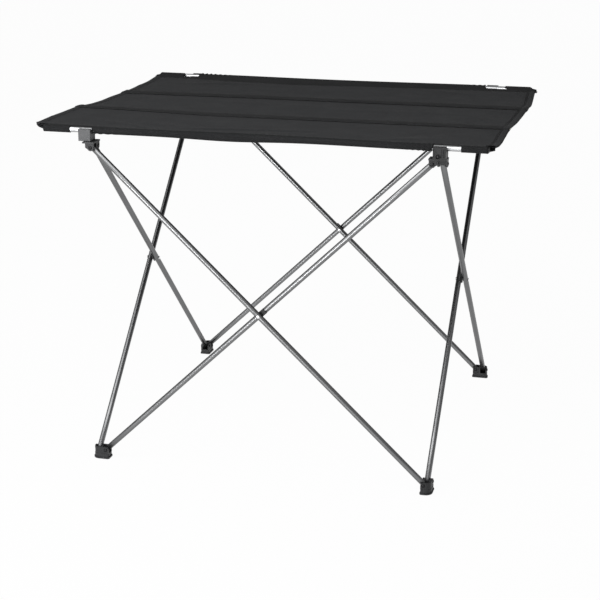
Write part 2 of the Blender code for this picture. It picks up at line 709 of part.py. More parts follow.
def band_rise(y):
    """Extra half-thickness of the cloth where a band holds its stiffener."""
    off = abs(abs(y) - BAND_OFFSET)
    full = CAVITY_HALF + BAND_SKIN - SHEET_THICKNESS / 2
    if off <= BAND_TOP_HALF:
        return full
    return full * max(0.0, (BAND_HALF - off) / (BAND_HALF - BAND_TOP_HALF))


def sheet_stations():
    outer = BAND_OFFSET + BAND_HALF
    stations = [CENTRE_FLAT, BAND_OFFSET - BAND_HALF, BAND_OFFSET - BAND_TOP_HALF]
    stations += [BAND_OFFSET + BAND_TOP_HALF, outer]
    stations += [outer + (SEAM_Y - outer) * i / SHEET_STEPS for i in range(1, SHEET_STEPS + 1)]
    return [-y for y in reversed(stations)] + stations


def sheet_side(top):
    sign = 1 if top else -1
    made = []
    for y in sheet_stations():
        made.append((y, sheet_height(y) + sign * (SHEET_THICKNESS / 2 + band_rise(y))))
    return made


def sleeve_arc(side, radius, tip):
    """Points round the outer side of a rail, from the upper tangent of the tip to the lower."""
    start = tangent(tip, radius, True)
    end = 2 * pi + tangent(tip, radius, False)
    points = arc((0, 0), radius, start, end, SLEEVE_STEPS)
    return [(side * (RAIL_Y - a), b) for a, b in points]


def cloth_loops():
    """Cross-section of the top: sheet, two sleeves with their hollows and two band cavities."""
    half = SHEET_THICKNESS / 2
    upper, lower = (SEAM_INSET, half), (SEAM_INSET, -half)
    front = sleeve_arc(-1, SLEEVE_OUTER, upper)
    rear = sleeve_arc(1, SLEEVE_OUTER, upper)
    outline = front + sheet_side(False) + rear[::-1] + sheet_side(True)[::-1]
    hollow_tip = (SEAM_INSET - SEAM_WIDTH, 0.0)
    holes = []
    for side in (-1, 1):
        hollow = sleeve_arc(side, SLEEVE_INNER, hollow_tip)
        holes.append(hollow + [(side * (RAIL_Y - hollow_tip[0]), hollow_tip[1])])
        reach = STIFFENER_WIDTH / 2 + GAP
        low, high = side * BAND_OFFSET - reach, side * BAND_OFFSET + reach
        at = sheet_height(BAND_OFFSET)
        holes.append([(low, at - CAVITY_HALF), (high, at - CAVITY_HALF),
                      (high, at + CAVITY_HALF), (low, at + CAVITY_HALF)])
    return [outline] + holes


def edge_droop(x, y):
    """How far a side hem hangs: nothing at the rails and at the stiffeners."""
    if abs(x) <= EDGE_DROOP_START:
        return 0.0
    along = (abs(x) - EDGE_DROOP_START) / (SHEET_HALF - EDGE_DROOP_START)
    inner = BAND_OFFSET - BAND_HALF
    outer = BAND_OFFSET + BAND_HALF
    if abs(y) < inner:
        hang = cos(pi / 2 * abs(y) / inner)
    elif outer < abs(y) < SEAM_Y:
        hang = sin(pi * (abs(y) - outer) / (SEAM_Y - outer))
    else:
        hang = 0.0
    return EDGE_DROOP * along * along * hang


def cloth_place(y, up, share):
    """Put a cross-section point at a share of the half-length, with bow, droop and hem."""
    sleeve_edge = RAIL_Y - SLEEVE_OUTER - GAP
    half = SLEEVE_HALF if abs(y) > sleeve_edge else SHEET_HALF
    x = share * half
    pull_from = BAND_OFFSET + BAND_HALF
    pull = min(max((abs(y) - pull_from) / (SEAM_Y - pull_from), 0.0), 1.0)
    inwards = bow(x) * pull
    pulled = y - inwards if y > 0 else y + inwards
    return x, pulled, RAIL_HEIGHT + up - edge_droop(x, y)


def tabletop():
    """The cloth top as one solid, cut open round the rail clips."""
    middle = [x / SLEEVE_HALF for x in rail_levels()[1:-1]]
    droop = (SHEET_HALF - EDGE_DROOP_STATION) / SHEET_HALF
    shares = sorted([-1.0, -droop] + middle + [droop, 1.0])
    sheet = layered_solid("tabletop_cloth", cloth_loops(), shares, cloth_place, cloth())
    for side_x in (-1, 1):
        for side_y in (-1, 1):
            cut(sheet, *notch_cutters(side_x, side_y))
    return smooth(sheet)


def notch_cutters(side_x, side_y):
    """Open the sleeve round a clip: everything outside the rail, and the under layer behind it."""
    x_low, x_high = sorted((side_x * NOTCH_FROM, side_x * NOTCH_TO))
    far = RAIL_Y + 3 * SLEEVE_OUTER
    back = NOTCH_BACK_FRONT if side_y < 0 else NOTCH_BACK_REAR
    outer = sorted((side_y * (RAIL_Y - back), side_y * far))
    under = sorted((side_y * (RAIL_Y - NOTCH_UNDER), side_y * far))
    low, high = RAIL_HEIGHT - 3 * SLEEVE_OUTER, RAIL_HEIGHT + 3 * SLEEVE_OUTER
    over = box("over", (x_low, outer[0], low), (x_high, outer[1], high), cloth())
    below = box("below", (x_low, under[0], low), (x_high, under[1], RAIL_HEIGHT), cloth())
    return over, below


def stiffener(name, side):
    at = RAIL_HEIGHT + sheet_height(BAND_OFFSET)
    middle = side * BAND_OFFSET
    low = (-STIFFENER_HALF, middle - STIFFENER_WIDTH / 2, at - STIFFENER_THICKNESS / 2)
    high = (STIFFENER_HALF, middle + STIFFENER_WIDTH / 2, at + STIFFENER_THICKNESS / 2)
    return box(name, low, high, glass_fibre())


# Assembly

def foot_point(face, inner):
    """World point of a leg's lower pivot."""
    offset = LEG_OFFSET if inner else -LEG_OFFSET
    x = -PIVOT_HALF if inner else PIVOT_HALF
    return face_matrix(face) @ Vector((x, -FRAME_HALF + offset, FOOT_PIVOT_HEIGHT))


def leg_matrix(face, inner):
    """Leg axes into world axes: x along the leg from left to right seen from outside."""
    offset = LEG_OFFSET if inner else -LEG_OFFSET
    turn = Matrix.Rotation(-LEG_ANGLE if inner else LEG_ANGLE, 4, "Y")
    return face_matrix(face) @ Matrix.Translation((0, -FRAME_HALF + offset, MID_HEIGHT)) @ turn


def add_legs(bodies):
    tube = leg_tube("leg_tube", anodised())
    for face, face_name in enumerate(FACES):
        for kind in ("inner", "outer"):
            name = f"leg_{face_name}_{kind}"
            seat(copy_of(tube, name), leg_matrix(face, kind == "inner"), bodies[name])
    bpy.data.objects.remove(tube, do_unlink=True)


def add_crossings(bodies):
    pin = crossing_rivet()
    saddle = crossing_spacer()
    for face, face_name in enumerate(FACES):
        body = bodies[f"leg_{face_name}_inner"]
        upright = face_matrix(face) @ Matrix.Translation((0, -FRAME_HALF, MID_HEIGHT))
        along_leg = upright @ Matrix.Rotation(-LEG_ANGLE, 4, "Y")
        seat(copy_of(pin, f"crossing_rivet_{face_name}"), upright, body)
        seat(copy_of(saddle, f"crossing_spacer_{face_name}"), along_leg, body)
    for master in (pin, saddle):
        bpy.data.objects.remove(master, do_unlink=True)


def add_feet(bodies):
    pins = {"foot_inner_rivet": foot_inner_rivet(), "foot_outer_rivet": foot_outer_rivet()}
    masters = {"foot": foot(), **pins}
    for corner, corner_name in enumerate(CORNERS):
        for kind, master in masters.items():
            made = copy_of(master, f"{kind}_{corner_name}")
            seat(made, corner_matrix(corner), bodies[f"foot_{corner_name}"])
    for master in masters.values():
        bpy.data.objects.remove(master, do_unlink=True)


def clip_matrix(corner):
    """Clip axes into world axes: x outwards along the rail and y outwards across it."""
    side_x = 1 if corner in (1, 2) else -1
    side_y = 1 if corner in (2, 3) else -1
    return Matrix.Translation((side_x * FRAME_HALF, side_y * RAIL_Y, RAIL_HEIGHT)), side_x, side_y


def mirrored(obj, side_x, side_y):
    """Mirror a mesh across x and y, turning its faces over when only one changes."""
    obj.data.transform(Matrix.Diagonal((side_x, side_y, 1, 1)))
    if side_x * side_y < 0:
        obj.data.flip_normals()
    return obj


def add_hubs(bodies):
    pins = {"hub_inner_rivet": hub_inner_rivet(), "hub_outer_rivet": hub_outer_rivet()}
    for corner, corner_name in enumerate(CORNERS):
        body = bodies[f"hub_{corner_name}"]
        drilled = "v" if corner % 2 == 0 else "u"
        at_pivots = corner_matrix(corner) @ Matrix.Translation((0, 0, HUB_PIVOT_HEIGHT))
        seat(hub(f"hub_{corner_name}", drilled), at_pivots, body)
        for kind, master in pins.items():
            seat(copy_of(master, f"{kind}_{corner_name}"), at_pivots, body)
        place, side_x, side_y = clip_matrix(corner)
        boss_outward = corner % 2 == 1
        holder = mirrored(clip(f"rail_clip_{corner_name}", boss_outward), side_x, side_y)
        screw = mirrored(clip_screw(f"clip_screw_{corner_name}", boss_outward), side_x, side_y)
        seat(holder, place, body)
        seat(screw, place, body)
    for master in pins.values():
        bpy.data.objects.remove(master, do_unlink=True)


def add_top(bodies):
    body = bodies["tabletop"]
    here = Matrix.Identity(4)
    for name, side in (("front", -1), ("rear", 1)):
        seat(rail(f"rail_{name}", side), here, body)
        seat(stiffener(f"stiffener_{name}", side), here, body)
        for end_name, end in (("left", -1), ("right", 1)):
            seat(rail_plug(f"rail_plug_{name}_{end_name}", side, end), here, body)
    seat(tabletop(), here, body)


def add_bodies():
    """One empty for each moving body, on the axis that it turns about."""
    bodies = {}
    crossing = [face_matrix(f) @ Vector((0, -FRAME_HALF, MID_HEIGHT)) for f in range(4)]
    root = joint_empty("pivot_foot_front_left", foot_point(0, True))
    bodies["foot_front_left"] = root
    feet = {1: foot_point(0, False), 2: foot_point(1, False), 3: foot_point(3, True)}
    starts = (("leg_front_inner", foot_point(0, True), "foot_front_left"),
              ("leg_front_outer", crossing[0], "leg_front_inner"),
              ("foot_front_right", feet[1], "leg_front_outer"),
              ("leg_right_inner", foot_point(1, True), "foot_front_right"),
              ("leg_right_outer", crossing[1], "leg_right_inner"),
              ("foot_rear_right", feet[2], "leg_right_outer"),
              ("leg_left_outer", foot_point(3, False), "foot_front_left"),
              ("leg_left_inner", crossing[3], "leg_left_outer"),
              ("foot_rear_left", feet[3], "leg_left_inner"),
              ("leg_rear_outer", foot_point(2, False), "foot_rear_left"),
              ("leg_rear_inner", crossing[2], "leg_rear_outer"))
    for name, point, parent in starts:
        bodies[name] = joint_empty(f"pivot_{name}", point, bodies[parent])
    carriers = ("leg_front_outer", "leg_front_inner", "leg_right_inner", "leg_left_outer")
    for corner, corner_name in enumerate(CORNERS):
        inner_end = corner in (1, 2)
        point = hub_point(corner, inner_end)
        name = f"hub_{corner_name}"
        bodies[name] = joint_empty(f"pivot_{name}", point, bodies[carriers[corner]])
    bodies["tabletop"] = joint_empty("lift_tabletop", Vector((0, 0, RAIL_HEIGHT)), root)
    return bodies


def hub_point(corner, inner_leg):
    """World point of a hub pivot: on its inner leg's pin or on its outer leg's."""
    if inner_leg:
        local = Vector((LEG_OFFSET, PIVOT_INSET, HUB_PIVOT_HEIGHT))
    else:
        local = Vector((PIVOT_INSET, -LEG_OFFSET, HUB_PIVOT_HEIGHT))
    return corner_matrix(corner) @ local


def main():
    clear_scene()
    bodies = add_bodies()
    add_legs(bodies)
    add_crossings(bodies)
    add_feet(bodies)
    add_hubs(bodies)
    add_top(bodies)
    bpy.context.view_layer.update()


main()
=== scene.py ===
"""Folding camping table in a plain studio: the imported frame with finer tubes, rivets and rounded
mouldings, and a sewn cloth top stretched between the two rails. Metres, +Z up."""
import json
from math import acos, cos, pi, radians, sin

import bpy
import numpy as np
from mathutils import Matrix, Vector

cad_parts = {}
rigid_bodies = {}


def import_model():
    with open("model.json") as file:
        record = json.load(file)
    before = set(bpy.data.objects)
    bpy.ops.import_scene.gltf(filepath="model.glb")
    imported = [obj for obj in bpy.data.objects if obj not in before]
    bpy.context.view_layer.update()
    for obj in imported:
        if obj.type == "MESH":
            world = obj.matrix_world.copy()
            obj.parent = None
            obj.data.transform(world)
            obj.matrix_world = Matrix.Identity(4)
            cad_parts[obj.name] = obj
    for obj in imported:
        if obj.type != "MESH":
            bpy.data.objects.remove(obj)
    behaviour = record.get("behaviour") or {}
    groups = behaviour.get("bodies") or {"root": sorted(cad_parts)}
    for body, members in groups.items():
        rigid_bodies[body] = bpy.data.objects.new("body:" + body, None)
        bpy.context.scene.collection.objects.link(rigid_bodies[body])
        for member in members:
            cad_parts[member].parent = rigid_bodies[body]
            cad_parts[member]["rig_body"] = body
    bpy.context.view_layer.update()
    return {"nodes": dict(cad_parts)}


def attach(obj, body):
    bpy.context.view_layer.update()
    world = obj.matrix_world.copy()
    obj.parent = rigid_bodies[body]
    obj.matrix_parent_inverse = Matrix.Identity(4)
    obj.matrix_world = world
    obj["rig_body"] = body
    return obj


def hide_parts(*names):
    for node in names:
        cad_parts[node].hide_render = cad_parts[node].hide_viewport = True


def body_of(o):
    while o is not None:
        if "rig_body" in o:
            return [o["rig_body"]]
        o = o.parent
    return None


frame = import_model()
nodes = frame["nodes"]
scene = bpy.context.scene

CORNERS = ("front_left", "front_right", "rear_right", "rear_left")
FACES = ("front", "right", "rear", "left")

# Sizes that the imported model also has
RAIL_HEIGHT = 0.5135
RAIL_Y = 0.2530
RAIL_HALF_LENGTH = 0.3250
RAIL_RADIUS = 0.0040
RAIL_WALL = 0.0008
RAIL_BOW = 0.0070
BOW_END = 0.2602
SHEET_HALF = 0.3390
SLEEVE_HALF = 0.3300
SEAM_INSET = 0.0220
SHEET_SAG = 0.0025
EDGE_DROOP = 0.0035
EDGE_DROOP_START = 0.2700
CENTRE_FLAT = 0.0350
BAND_OFFSET = 0.08298
BAND_HALF = 0.0130
BAND_TOP_HALF = 0.0090
LEG_WALL = 0.00075

# How the points of a packed rivet are told apart
AXIS_CLEAR = 0.0005          # nearer the axis than this they are middles of its end faces
HEAD_OVER_PIN = 1.3          # a head is wider than this many pin radii
HEAD_HEIGHT = 0.0016         # and no higher than this
HEAD_CROWN = 0.0002          # radius of the flat crown on a domed head

# Cloth
CLOTH = 0.0007               # thickness of one layer
SLEEVE_RADIUS = 0.0046       # middle of the sleeve's cloth round the rail
BAND_RISE = 0.00125          # band cloth above the stiffener's middle
BAND_DIP = 0.00130           # sheet below the stiffener's middle
HEM_WIDTH = 0.0130
HEM_RISE = 0.0009
STITCH_PITCH = 0.0032
STITCH_LENGTH = 0.0024
STITCH_RADIUS = 0.00030
# Sleeve cut-outs round the clips: side in x, side in y, from (under the rail, over it), to, and
# how far the edge on top lies behind the rail's axis
NOTCHES = ((-1, -1, 0.2480, 0.2520, 0.2862, 0.0032), (1, -1, 0.2480, 0.2500, 0.2886, 0.0012),
           (1, 1, 0.2480, 0.2490, 0.2830, 0.0150), (-1, 1, 0.2480, 0.2560, 0.2826, 0.0150))
NOTCH_UNDER = 0.0110         # the same for the edge underneath
FRONT_SHADE_STRIP = 0.0090         # painted shade on the front sleeve's face: its dark cloth reaches this far back from the rail's axis
# How the hand-tensioned top lies off square: (y, outwards, up) along its left and right hems
LEFT_HEM = ((-0.231, 0.0090, 0.0030), (-0.180, 0.0100, 0.0035), (-0.140, 0.0085, 0.0035),
            (-0.100, 0.0075, 0.0035), (-0.083, 0.0070, 0.0030), (-0.065, 0.0050, 0.0020),
            (-0.040, 0.0020, 0.0010), (0.000, 0.0, 0.0), (0.035, -0.0020, 0.0),
            (0.070, -0.0055, -0.0010), (0.100, -0.0070, -0.0010), (0.155, -0.0060, 0.0),
            (0.190, -0.0095, 0.0), (0.231, -0.0100, 0.0))
RIGHT_HEM = ((-0.231, -0.0065, 0.0), (-0.210, -0.0045, 0.0), (-0.140, -0.0060, 0.0),
             (-0.083, -0.0056, 0.0), (-0.043, -0.0050, 0.0), (0.019, -0.0030, 0.0),
             (0.085, 0.0010, 0.0), (0.130, 0.0010, 0.0), (0.200, -0.0030, 0.0),
             (0.231, -0.0045, 0.0), (0.238, -0.0030, 0.0), (0.244, -0.0020, 0.0))
OFF_SQUARE_FROM, OFF_SQUARE_OVER = 0.10, 0.22      # where in x it starts, and how soon it is full
# It ends before the rail's axis, by this much and over this width: front, rear
RAIL_FADE = ((0.019, 0.014), (0.010, 0.008))
SLEEVE_END_FROM, SLEEVE_END_OVER = 0.29, 0.03      # the sleeves' ends move from here in x
# By corner: how far the sleeve's end lies outwards, and how far the hem's corner stands up
CORNER_SHIFT = {(-1, -1): (-0.0025, 0.0036), (1, -1): (-0.0045, 0.0036), (1, 1): (-0.0055, -0.0010),
                (-1, 1): (-0.0050, 0.0)}
# The rear sleeve has turned on its rail: (x, how far its seam has come forward)
REAR_SEAM = ((-0.339, 0.0040), (-0.270, 0.0080), (-0.200, 0.0180), (-0.075, 0.0230), (0.030, 0.0120),
             (0.140, 0.0090), (0.250, 0.0080), (0.339, 0.0030))
REAR_SEAM_FROM = 0.13        # the sheet in front of this y doesn't move with it
# Slack of the front sleeve under its rail: depth, middle and reach in x
SLACK, SLACK_AT, SLACK_REACH = 0.0030, -0.045, 0.075
LEFT_DROOP = (0.0, 0.35, 0.6)                      # share of the droop: front, middle, rear
NARROW_FROM, NARROW_OVER = 0.012, 0.007            # the sheet narrows to the sleeve before the rail
BAND_SHORT = 0.0020          # band's end inside the sheet's edge
BAND_EASE = 0.0055           # width over which a band rises on to its stiffener
HEM_PAST_SEAM = 0.013        # the hem runs on over the sleeve's flat part
HEM_CORNER = 0.014           # width over which its corner rises
HEM_THICKNESS = 0.0005
BAND_SEAM = 0.0112           # a band's two seams from its middle
BAND_STITCH_END, SEAM_STITCH_END = 0.3245, 0.3260
SEAM_ROWS = (0.0, 0.0045)    # a sleeve's two rows of stitches, inwards of its seam
HEM_SEAM = 0.0030            # a hem's seam from its inner edge
# Height of the threads above the sheet's line: on the bands, at the seams and on the hems
ON_BAND, ON_SEAM, ON_HEM = CLOTH * 1.9 + 0.0006, CLOTH * 0.9, CLOTH * 1.6
# Gathers in the sleeves beside the cut-outs: side in x, side in y, from, to, folds, height
GATHERS = ((1, -1, 0.2500, 0.205, 6.0, 0.0012), (-1, -1, 0.2500, 0.205, 4.0, 0.0008),
           (-1, 1, 0.2560, 0.190, 8.0, 0.0020), (1, 1, 0.2490, 0.215, 3.5, 0.0008))
GATHER_DEEPEST = -0.0003     # the rail is under the cloth
# Shallow folds in the sheet: x, y, direction in radians, length, width, height
FOLDS = ((-0.070, -0.205, 0.10, 0.055, 0.0060, 0.0011), (-0.030, -0.196, 0.14, 0.060, 0.0070, 0.0009),
         (0.020, -0.200, 0.08, 0.050, 0.0065, -0.0007), (-0.160, -0.190, -0.20, 0.060, 0.0080, 0.0006),
         (0.205, -0.205, 0.35, 0.045, 0.0070, 0.0010), (0.215, -0.170, 0.55, 0.060, 0.0090, -0.0007),
         (-0.215, -0.205, -0.40, 0.045, 0.0075, 0.0009), (-0.235, -0.165, -0.75, 0.060, 0.0090, 0.0006),
         (-0.200, 0.205, 0.30, 0.055, 0.0070, 0.0012), (0.210, 0.200, -0.35, 0.050, 0.0080, 0.0009),
         (0.120, 0.010, 0.03, 0.110, 0.0100, 0.0005), (-0.090, 0.030, -0.04, 0.120, 0.0110, 0.0005),
         (0.270, -0.045, 1.20, 0.050, 0.0100, 0.0008), (-0.280, 0.040, -1.10, 0.050, 0.0100, 0.0008))

# Camera solved from the table's corners, legs and rails in the photograph, in metres and degrees
CAMERA_PLACE = (0.60051, -2.31347, 0.94381)
CAMERA_YAW, CAMERA_PITCH, CAMERA_ROLL = 14.7093, 17.3298, -0.0928
CAMERA_LENS, CAMERA_SENSOR = 92.308, 36.0          # millimetres

ROOM_LIGHT = 0.60            # how much the room lights the table, against the white that is seen
FLOOR_GLOW = 0.97            # share of the floor's white that comes from its glow


def link(obj):
    scene.collection.objects.link(obj)
    return obj


def mesh_from(name, vertices, faces, made_of=(), uvs=None, smooth_angle=40):
    """A mesh object from arrays; uvs holds one pair for each corner of each face."""
    mesh = bpy.data.meshes.new(name)
    mesh.from_pydata([tuple(v) for v in vertices], [], [tuple(f) for f in faces])
    for one in made_of:
        mesh.materials.append(one)
    if uvs is not None:
        layer = mesh.uv_layers.new(name="metres")
        layer.data.foreach_set("uv", np.asarray(uvs, dtype=np.float32).ravel())
    mesh.validate()
    mesh.shade_smooth()
    mesh.set_sharp_from_angle(angle=radians(smooth_angle))
    return link(bpy.data.objects.new(name, mesh))


def node_points(name):
    data = nodes[name].data
    flat = np.empty(len(data.vertices) * 3, dtype=np.float64)
    data.vertices.foreach_get("co", flat)
    return flat.reshape(-1, 3)


def body_of_node(name):
    return body_of(nodes[name])[0]


# Materials

def start_material(name):
    made = bpy.data.materials.new(name)
    made.use_nodes = True
    return made, made.node_tree, made.node_tree.nodes["Principled BSDF"]


def put(tree, kind, inputs=(), **settings):
    node = tree.nodes.new(kind)
    for key, value in settings.items():
        setattr(node, key, value)
    for key, value in dict(inputs).items():
        node.inputs[key].default_value = value
    return node


def scaled(tree, source, scale):
    mapping = put(tree, "ShaderNodeMapping", {"Scale": scale})
    tree.links.new(source, mapping.inputs["Vector"])
    return mapping.outputs["Vector"]


def noise(tree, vector, scale, detail=3.0, roughness=0.5):
    node = put(tree, "ShaderNodeTexNoise", {"Scale": scale, "Detail": detail, "Roughness": roughness})
    tree.links.new(vector, node.inputs["Vector"])
    return node.outputs["Fac"]


def ramp(tree, factor, low, high, start=0.35, end=0.65):
    """A colour ramp between two greys or colours."""
    node = put(tree, "ShaderNodeValToRGB")
    tree.links.new(factor, node.inputs["Fac"])
    for element, position, colour in zip(node.color_ramp.elements, (start, end), (low, high)):
        element.position = position
        element.color = (*colour, 1.0) if hasattr(colour, "__len__") else (colour, colour, colour, 1.0)
    return node.outputs["Color"]


def blend_colours(tree, factor, a, b, mode="MIX"):
    node = put(tree, "ShaderNodeMix", data_type="RGBA", blend_type=mode)
    for value, socket in ((factor, node.inputs[0]), (a, node.inputs[6]), (b, node.inputs[7])):
        if isinstance(value, bpy.types.NodeSocket):
            tree.links.new(value, socket)
        else:
            socket.default_value = value
    return node.outputs[2]


def arithmetic(tree, operation, a, b):
    node = put(tree, "ShaderNodeMath", operation=operation)
    for value, socket in ((a, node.inputs[0]), (b, node.inputs[1])):
        if isinstance(value, bpy.types.NodeSocket):
            tree.links.new(value, socket)
        else:
            socket.default_value = value
    return node.outputs[0]


def bump(tree, height, distance, strength, below=None):
    node = put(tree, "ShaderNodeBump", {"Distance": distance, "Strength": strength})
    tree.links.new(height, node.inputs["Height"])
    if below is not None:
        tree.links.new(below, node.inputs["Normal"])
    return node.outputs["Normal"]


def shaded(colour, factor):
    return tuple(c * factor for c in colour)


def cloth_material(name, colour, pitch=0.00075, sheen=0.04):
    """Oxford weave in the cloth's own metres, with faint streaks along the warp and slubs."""
    made, tree, shader = start_material(name)
    uv = put(tree, "ShaderNodeUVMap", uv_map="metres").outputs["UV"]
    scale = 2 * pi / 20 / pitch
    waves = []
    for direction in ("X", "Y"):
        wave = put(tree, "ShaderNodeTexWave", {"Scale": scale}, wave_type="BANDS",
                   bands_direction=direction)
        tree.links.new(uv, wave.inputs["Vector"])
        waves.append(wave.outputs["Fac"])
    weave = arithmetic(tree, "MULTIPLY", *waves)
    streaks = noise(tree, scaled(tree, uv, (6.0, 420.0, 1.0)), 1.0, 4.0, 0.6)
    patches = noise(tree, uv, 22.0, 5.0, 0.6)
    slubs = noise(tree, scaled(tree, uv, (60.0, 900.0, 1.0)), 1.0, 2.0)
    base = ramp(tree, streaks, shaded(colour, 0.86), shaded(colour, 1.14), 0.3, 0.7)
    worn = ramp(tree, patches, 0.90, 1.0, 0.25, 0.75)
    woven = ramp(tree, weave, 0.72, 1.0, 0.05, 0.7)
    mixed = blend_colours(tree, 1.0, base, worn, "MULTIPLY")
    mixed = blend_colours(tree, 1.0, mixed, woven, "MULTIPLY")
    tree.links.new(mixed, shader.inputs["Base Color"])
    rough = ramp(tree, patches, 0.72, 0.86)
    tree.links.new(rough, shader.inputs["Roughness"])
    soft = bump(tree, patches, 0.0012, 0.25)
    fine = bump(tree, slubs, 0.00020, 0.35, soft)
    tree.links.new(bump(tree, weave, 0.00016, 0.55, fine), shader.inputs["Normal"])
    shader.inputs["Specular IOR Level"].default_value = 0.12
    shader.inputs["Sheen Weight"].default_value = sheen
    shader.inputs["Sheen Roughness"].default_value = 0.45
    return made


def tube_material(name, colour, edge, roughness):
    """Drawn aluminium: fine lines along the tube, cloudy anodising and a few handling marks; painted
    shade darkens its colour to `edge` of itself where it is seen at a slant, for the dark room at its
    sides."""
    made, tree, shader = start_material(name)
    uv = put(tree, "ShaderNodeUVMap", uv_map="metres").outputs["UV"]
    lines = noise(tree, scaled(tree, uv, (2600.0, 3.0, 1.0)), 1.0, 1.0, 0.5)
    clouds = noise(tree, scaled(tree, uv, (60.0, 22.0, 1.0)), 1.0, 4.0)
    marks = noise(tree, scaled(tree, uv, (900.0, 260.0, 1.0)), 1.0, 2.0)
    base = ramp(tree, lines, shaded(colour, 0.93), shaded(colour, 1.06), 0.3, 0.7)
    hazy = ramp(tree, clouds, 0.88, 1.0, 0.3, 0.7)
    dulled = ramp(tree, marks, 1.0, 0.88, 0.66, 0.78)
    mixed = blend_colours(tree, 1.0, base, hazy, "MULTIPLY")
    mixed = blend_colours(tree, 1.0, mixed, dulled, "MULTIPLY")
    # Painted shade: the colour is darkened where the tube is seen at a slant
    facing = put(tree, "ShaderNodeLayerWeight", {"Blend": 0.5}).outputs["Facing"]
    painted_slant_shade = ramp(tree, facing, 1.0, edge, 0.20, 0.75)
    tree.links.new(blend_colours(tree, 1.0, mixed, painted_slant_shade, "MULTIPLY"), shader.inputs["Base Color"])
    rough = ramp(tree, lines, roughness - 0.03, roughness + 0.04)
    tree.links.new(rough, shader.inputs["Roughness"])
    tree.links.new(bump(tree, lines, 0.00001, 0.10), shader.inputs["Normal"])
    shader.inputs["Metallic"].default_value = 1.0
    return made


def moulded_material(name, colour, roughness, wear):
    """Moulded nylon: spark-eroded grain, slight flow marks and edges rubbed paler."""
    made, tree, shader = start_material(name)
    place = put(tree, "ShaderNodeTexCoord").outputs["Object"]
    grain = noise(tree, place, 2600.0, 2.0)
    flow = noise(tree, place, 90.0, 4.0, 0.6)
    dust = noise(tree, place, 700.0, 3.0, 0.7)
    base = ramp(tree, flow, shaded(colour, 0.85), shaded(colour, 1.15), 0.3, 0.7)
    pointy = put(tree, "ShaderNodeNewGeometry").outputs["Pointiness"]
    rubbed = ramp(tree, pointy, 0.0, 1.0, 0.52, 0.62)
    broken = blend_colours(tree, 1.0, rubbed, ramp(tree, dust, 0.25, 1.0), "MULTIPLY")
    tree.links.new(blend_colours(tree, broken, base, (*wear, 1.0)), shader.inputs["Base Color"])
    rough = ramp(tree, flow, roughness - 0.07, roughness + 0.07)
    tree.links.new(rough, shader.inputs["Roughness"])
    soft = bump(tree, flow, 0.0002, 0.2)
    tree.links.new(bump(tree, grain, 0.00006, 0.5, soft), shader.inputs["Normal"])
    shader.inputs["Specular IOR Level"].default_value = 0.30
    return made


def steel_material(name, colour, roughness):
    made, tree, shader = start_material(name)
    place = put(tree, "ShaderNodeTexCoord").outputs["Object"]
    plating = noise(tree, place, 1500.0, 3.0, 0.6)
    tarnish = noise(tree, place, 300.0, 4.0)
    base = ramp(tree, tarnish, shaded(colour, 0.7), colour, 0.3, 0.6)
    tree.links.new(base, shader.inputs["Base Color"])
    tree.links.new(ramp(tree, plating, roughness - 0.08, roughness + 0.1), shader.inputs["Roughness"])
    tree.links.new(bump(tree, plating, 0.00004, 0.4), shader.inputs["Normal"])
    shader.inputs["Metallic"].default_value = 1.0
    return made


def batten_material():
    """Pultruded glass fibre: pale resin with long fibres in it."""
    made, tree, shader = start_material("glass_fibre_batten")
    place = put(tree, "ShaderNodeTexCoord").outputs["Object"]
    fibres = noise(tree, scaled(tree, place, (10.0, 3000.0, 3000.0)), 1.0, 3.0, 0.7)
    base = ramp(tree, fibres, (0.50, 0.47, 0.38), (0.70, 0.68, 0.60))
    tree.links.new(base, shader.inputs["Base Color"])
    tree.links.new(ramp(tree, fibres, 0.35, 0.5), shader.inputs["Roughness"])
    tree.links.new(bump(tree, fibres, 0.00005, 0.4), shader.inputs["Normal"])
    return made


def thread_material():
    made, tree, shader = start_material("black_thread")
    place = put(tree, "ShaderNodeTexCoord").outputs["Object"]
    twist = noise(tree, place, 5000.0, 2.0)
    tree.links.new(ramp(tree, twist, 0.012, 0.040), shader.inputs["Base Color"])
    tree.links.new(ramp(tree, twist, 0.6, 0.8), shader.inputs["Roughness"])
    tree.links.new(bump(tree, twist, 0.00006, 0.6), shader.inputs["Normal"])
    return made


# The second figure darkens the colour at a slant: painted shade on the tubes' sides
ANODISED = tube_material("anodised_leg_tube", (0.235, 0.238, 0.242), 0.42, 0.33)
BRIGHT = tube_material("bright_rail_tube", (0.60, 0.607, 0.615), 0.45, 0.27)
STEEL = steel_material("plated_rivet_steel", (0.90, 0.90, 0.91), 0.25)
SCREW = steel_material("blackened_rivet_steel", (0.030, 0.030, 0.031), 0.42)
FOOT_PLASTIC = moulded_material("black_foot_nylon", (0.024, 0.0247, 0.026), 0.50, (0.055, 0.055, 0.057))
HUB_PLASTIC = moulded_material("black_hub_nylon", (0.021, 0.0217, 0.0225), 0.48, (0.06, 0.06, 0.063))
# Two copies of one clip nylon: the darker one on the ribbed clips is painted shade
CLIP_PLASTIC = moulded_material("charcoal_clip_nylon", (0.078, 0.080, 0.083), 0.48, (0.12, 0.12, 0.124))
SHADED_CLIP_PLASTIC = moulded_material("clip_nylon_painted_shade", (0.013, 0.0134, 0.014), 0.50, (0.04, 0.04, 0.042))
PLUG_PLASTIC = moulded_material("black_plug_nylon", (0.022, 0.022, 0.023), 0.55, (0.06, 0.06, 0.06))
SHEET_CLOTH = cloth_material("charcoal_oxford_cloth", (0.030, 0.031, 0.033))
# Darker cloth on the sleeves and the right hem's groove: partly a darker sleeve fabric, partly painted
# shade
DARK_CLOTH_AND_PAINTED_SHADE = cloth_material("dark_cloth_and_painted_shade", (0.020, 0.0205, 0.0215), sheen=0.01)
BAND_CLOTH = cloth_material("black_band_webbing", (0.024, 0.0245, 0.0255), pitch=0.0011, sheen=0.01)
BATTEN = batten_material()
THREAD = thread_material()


# Tubes, rivets and mouldings

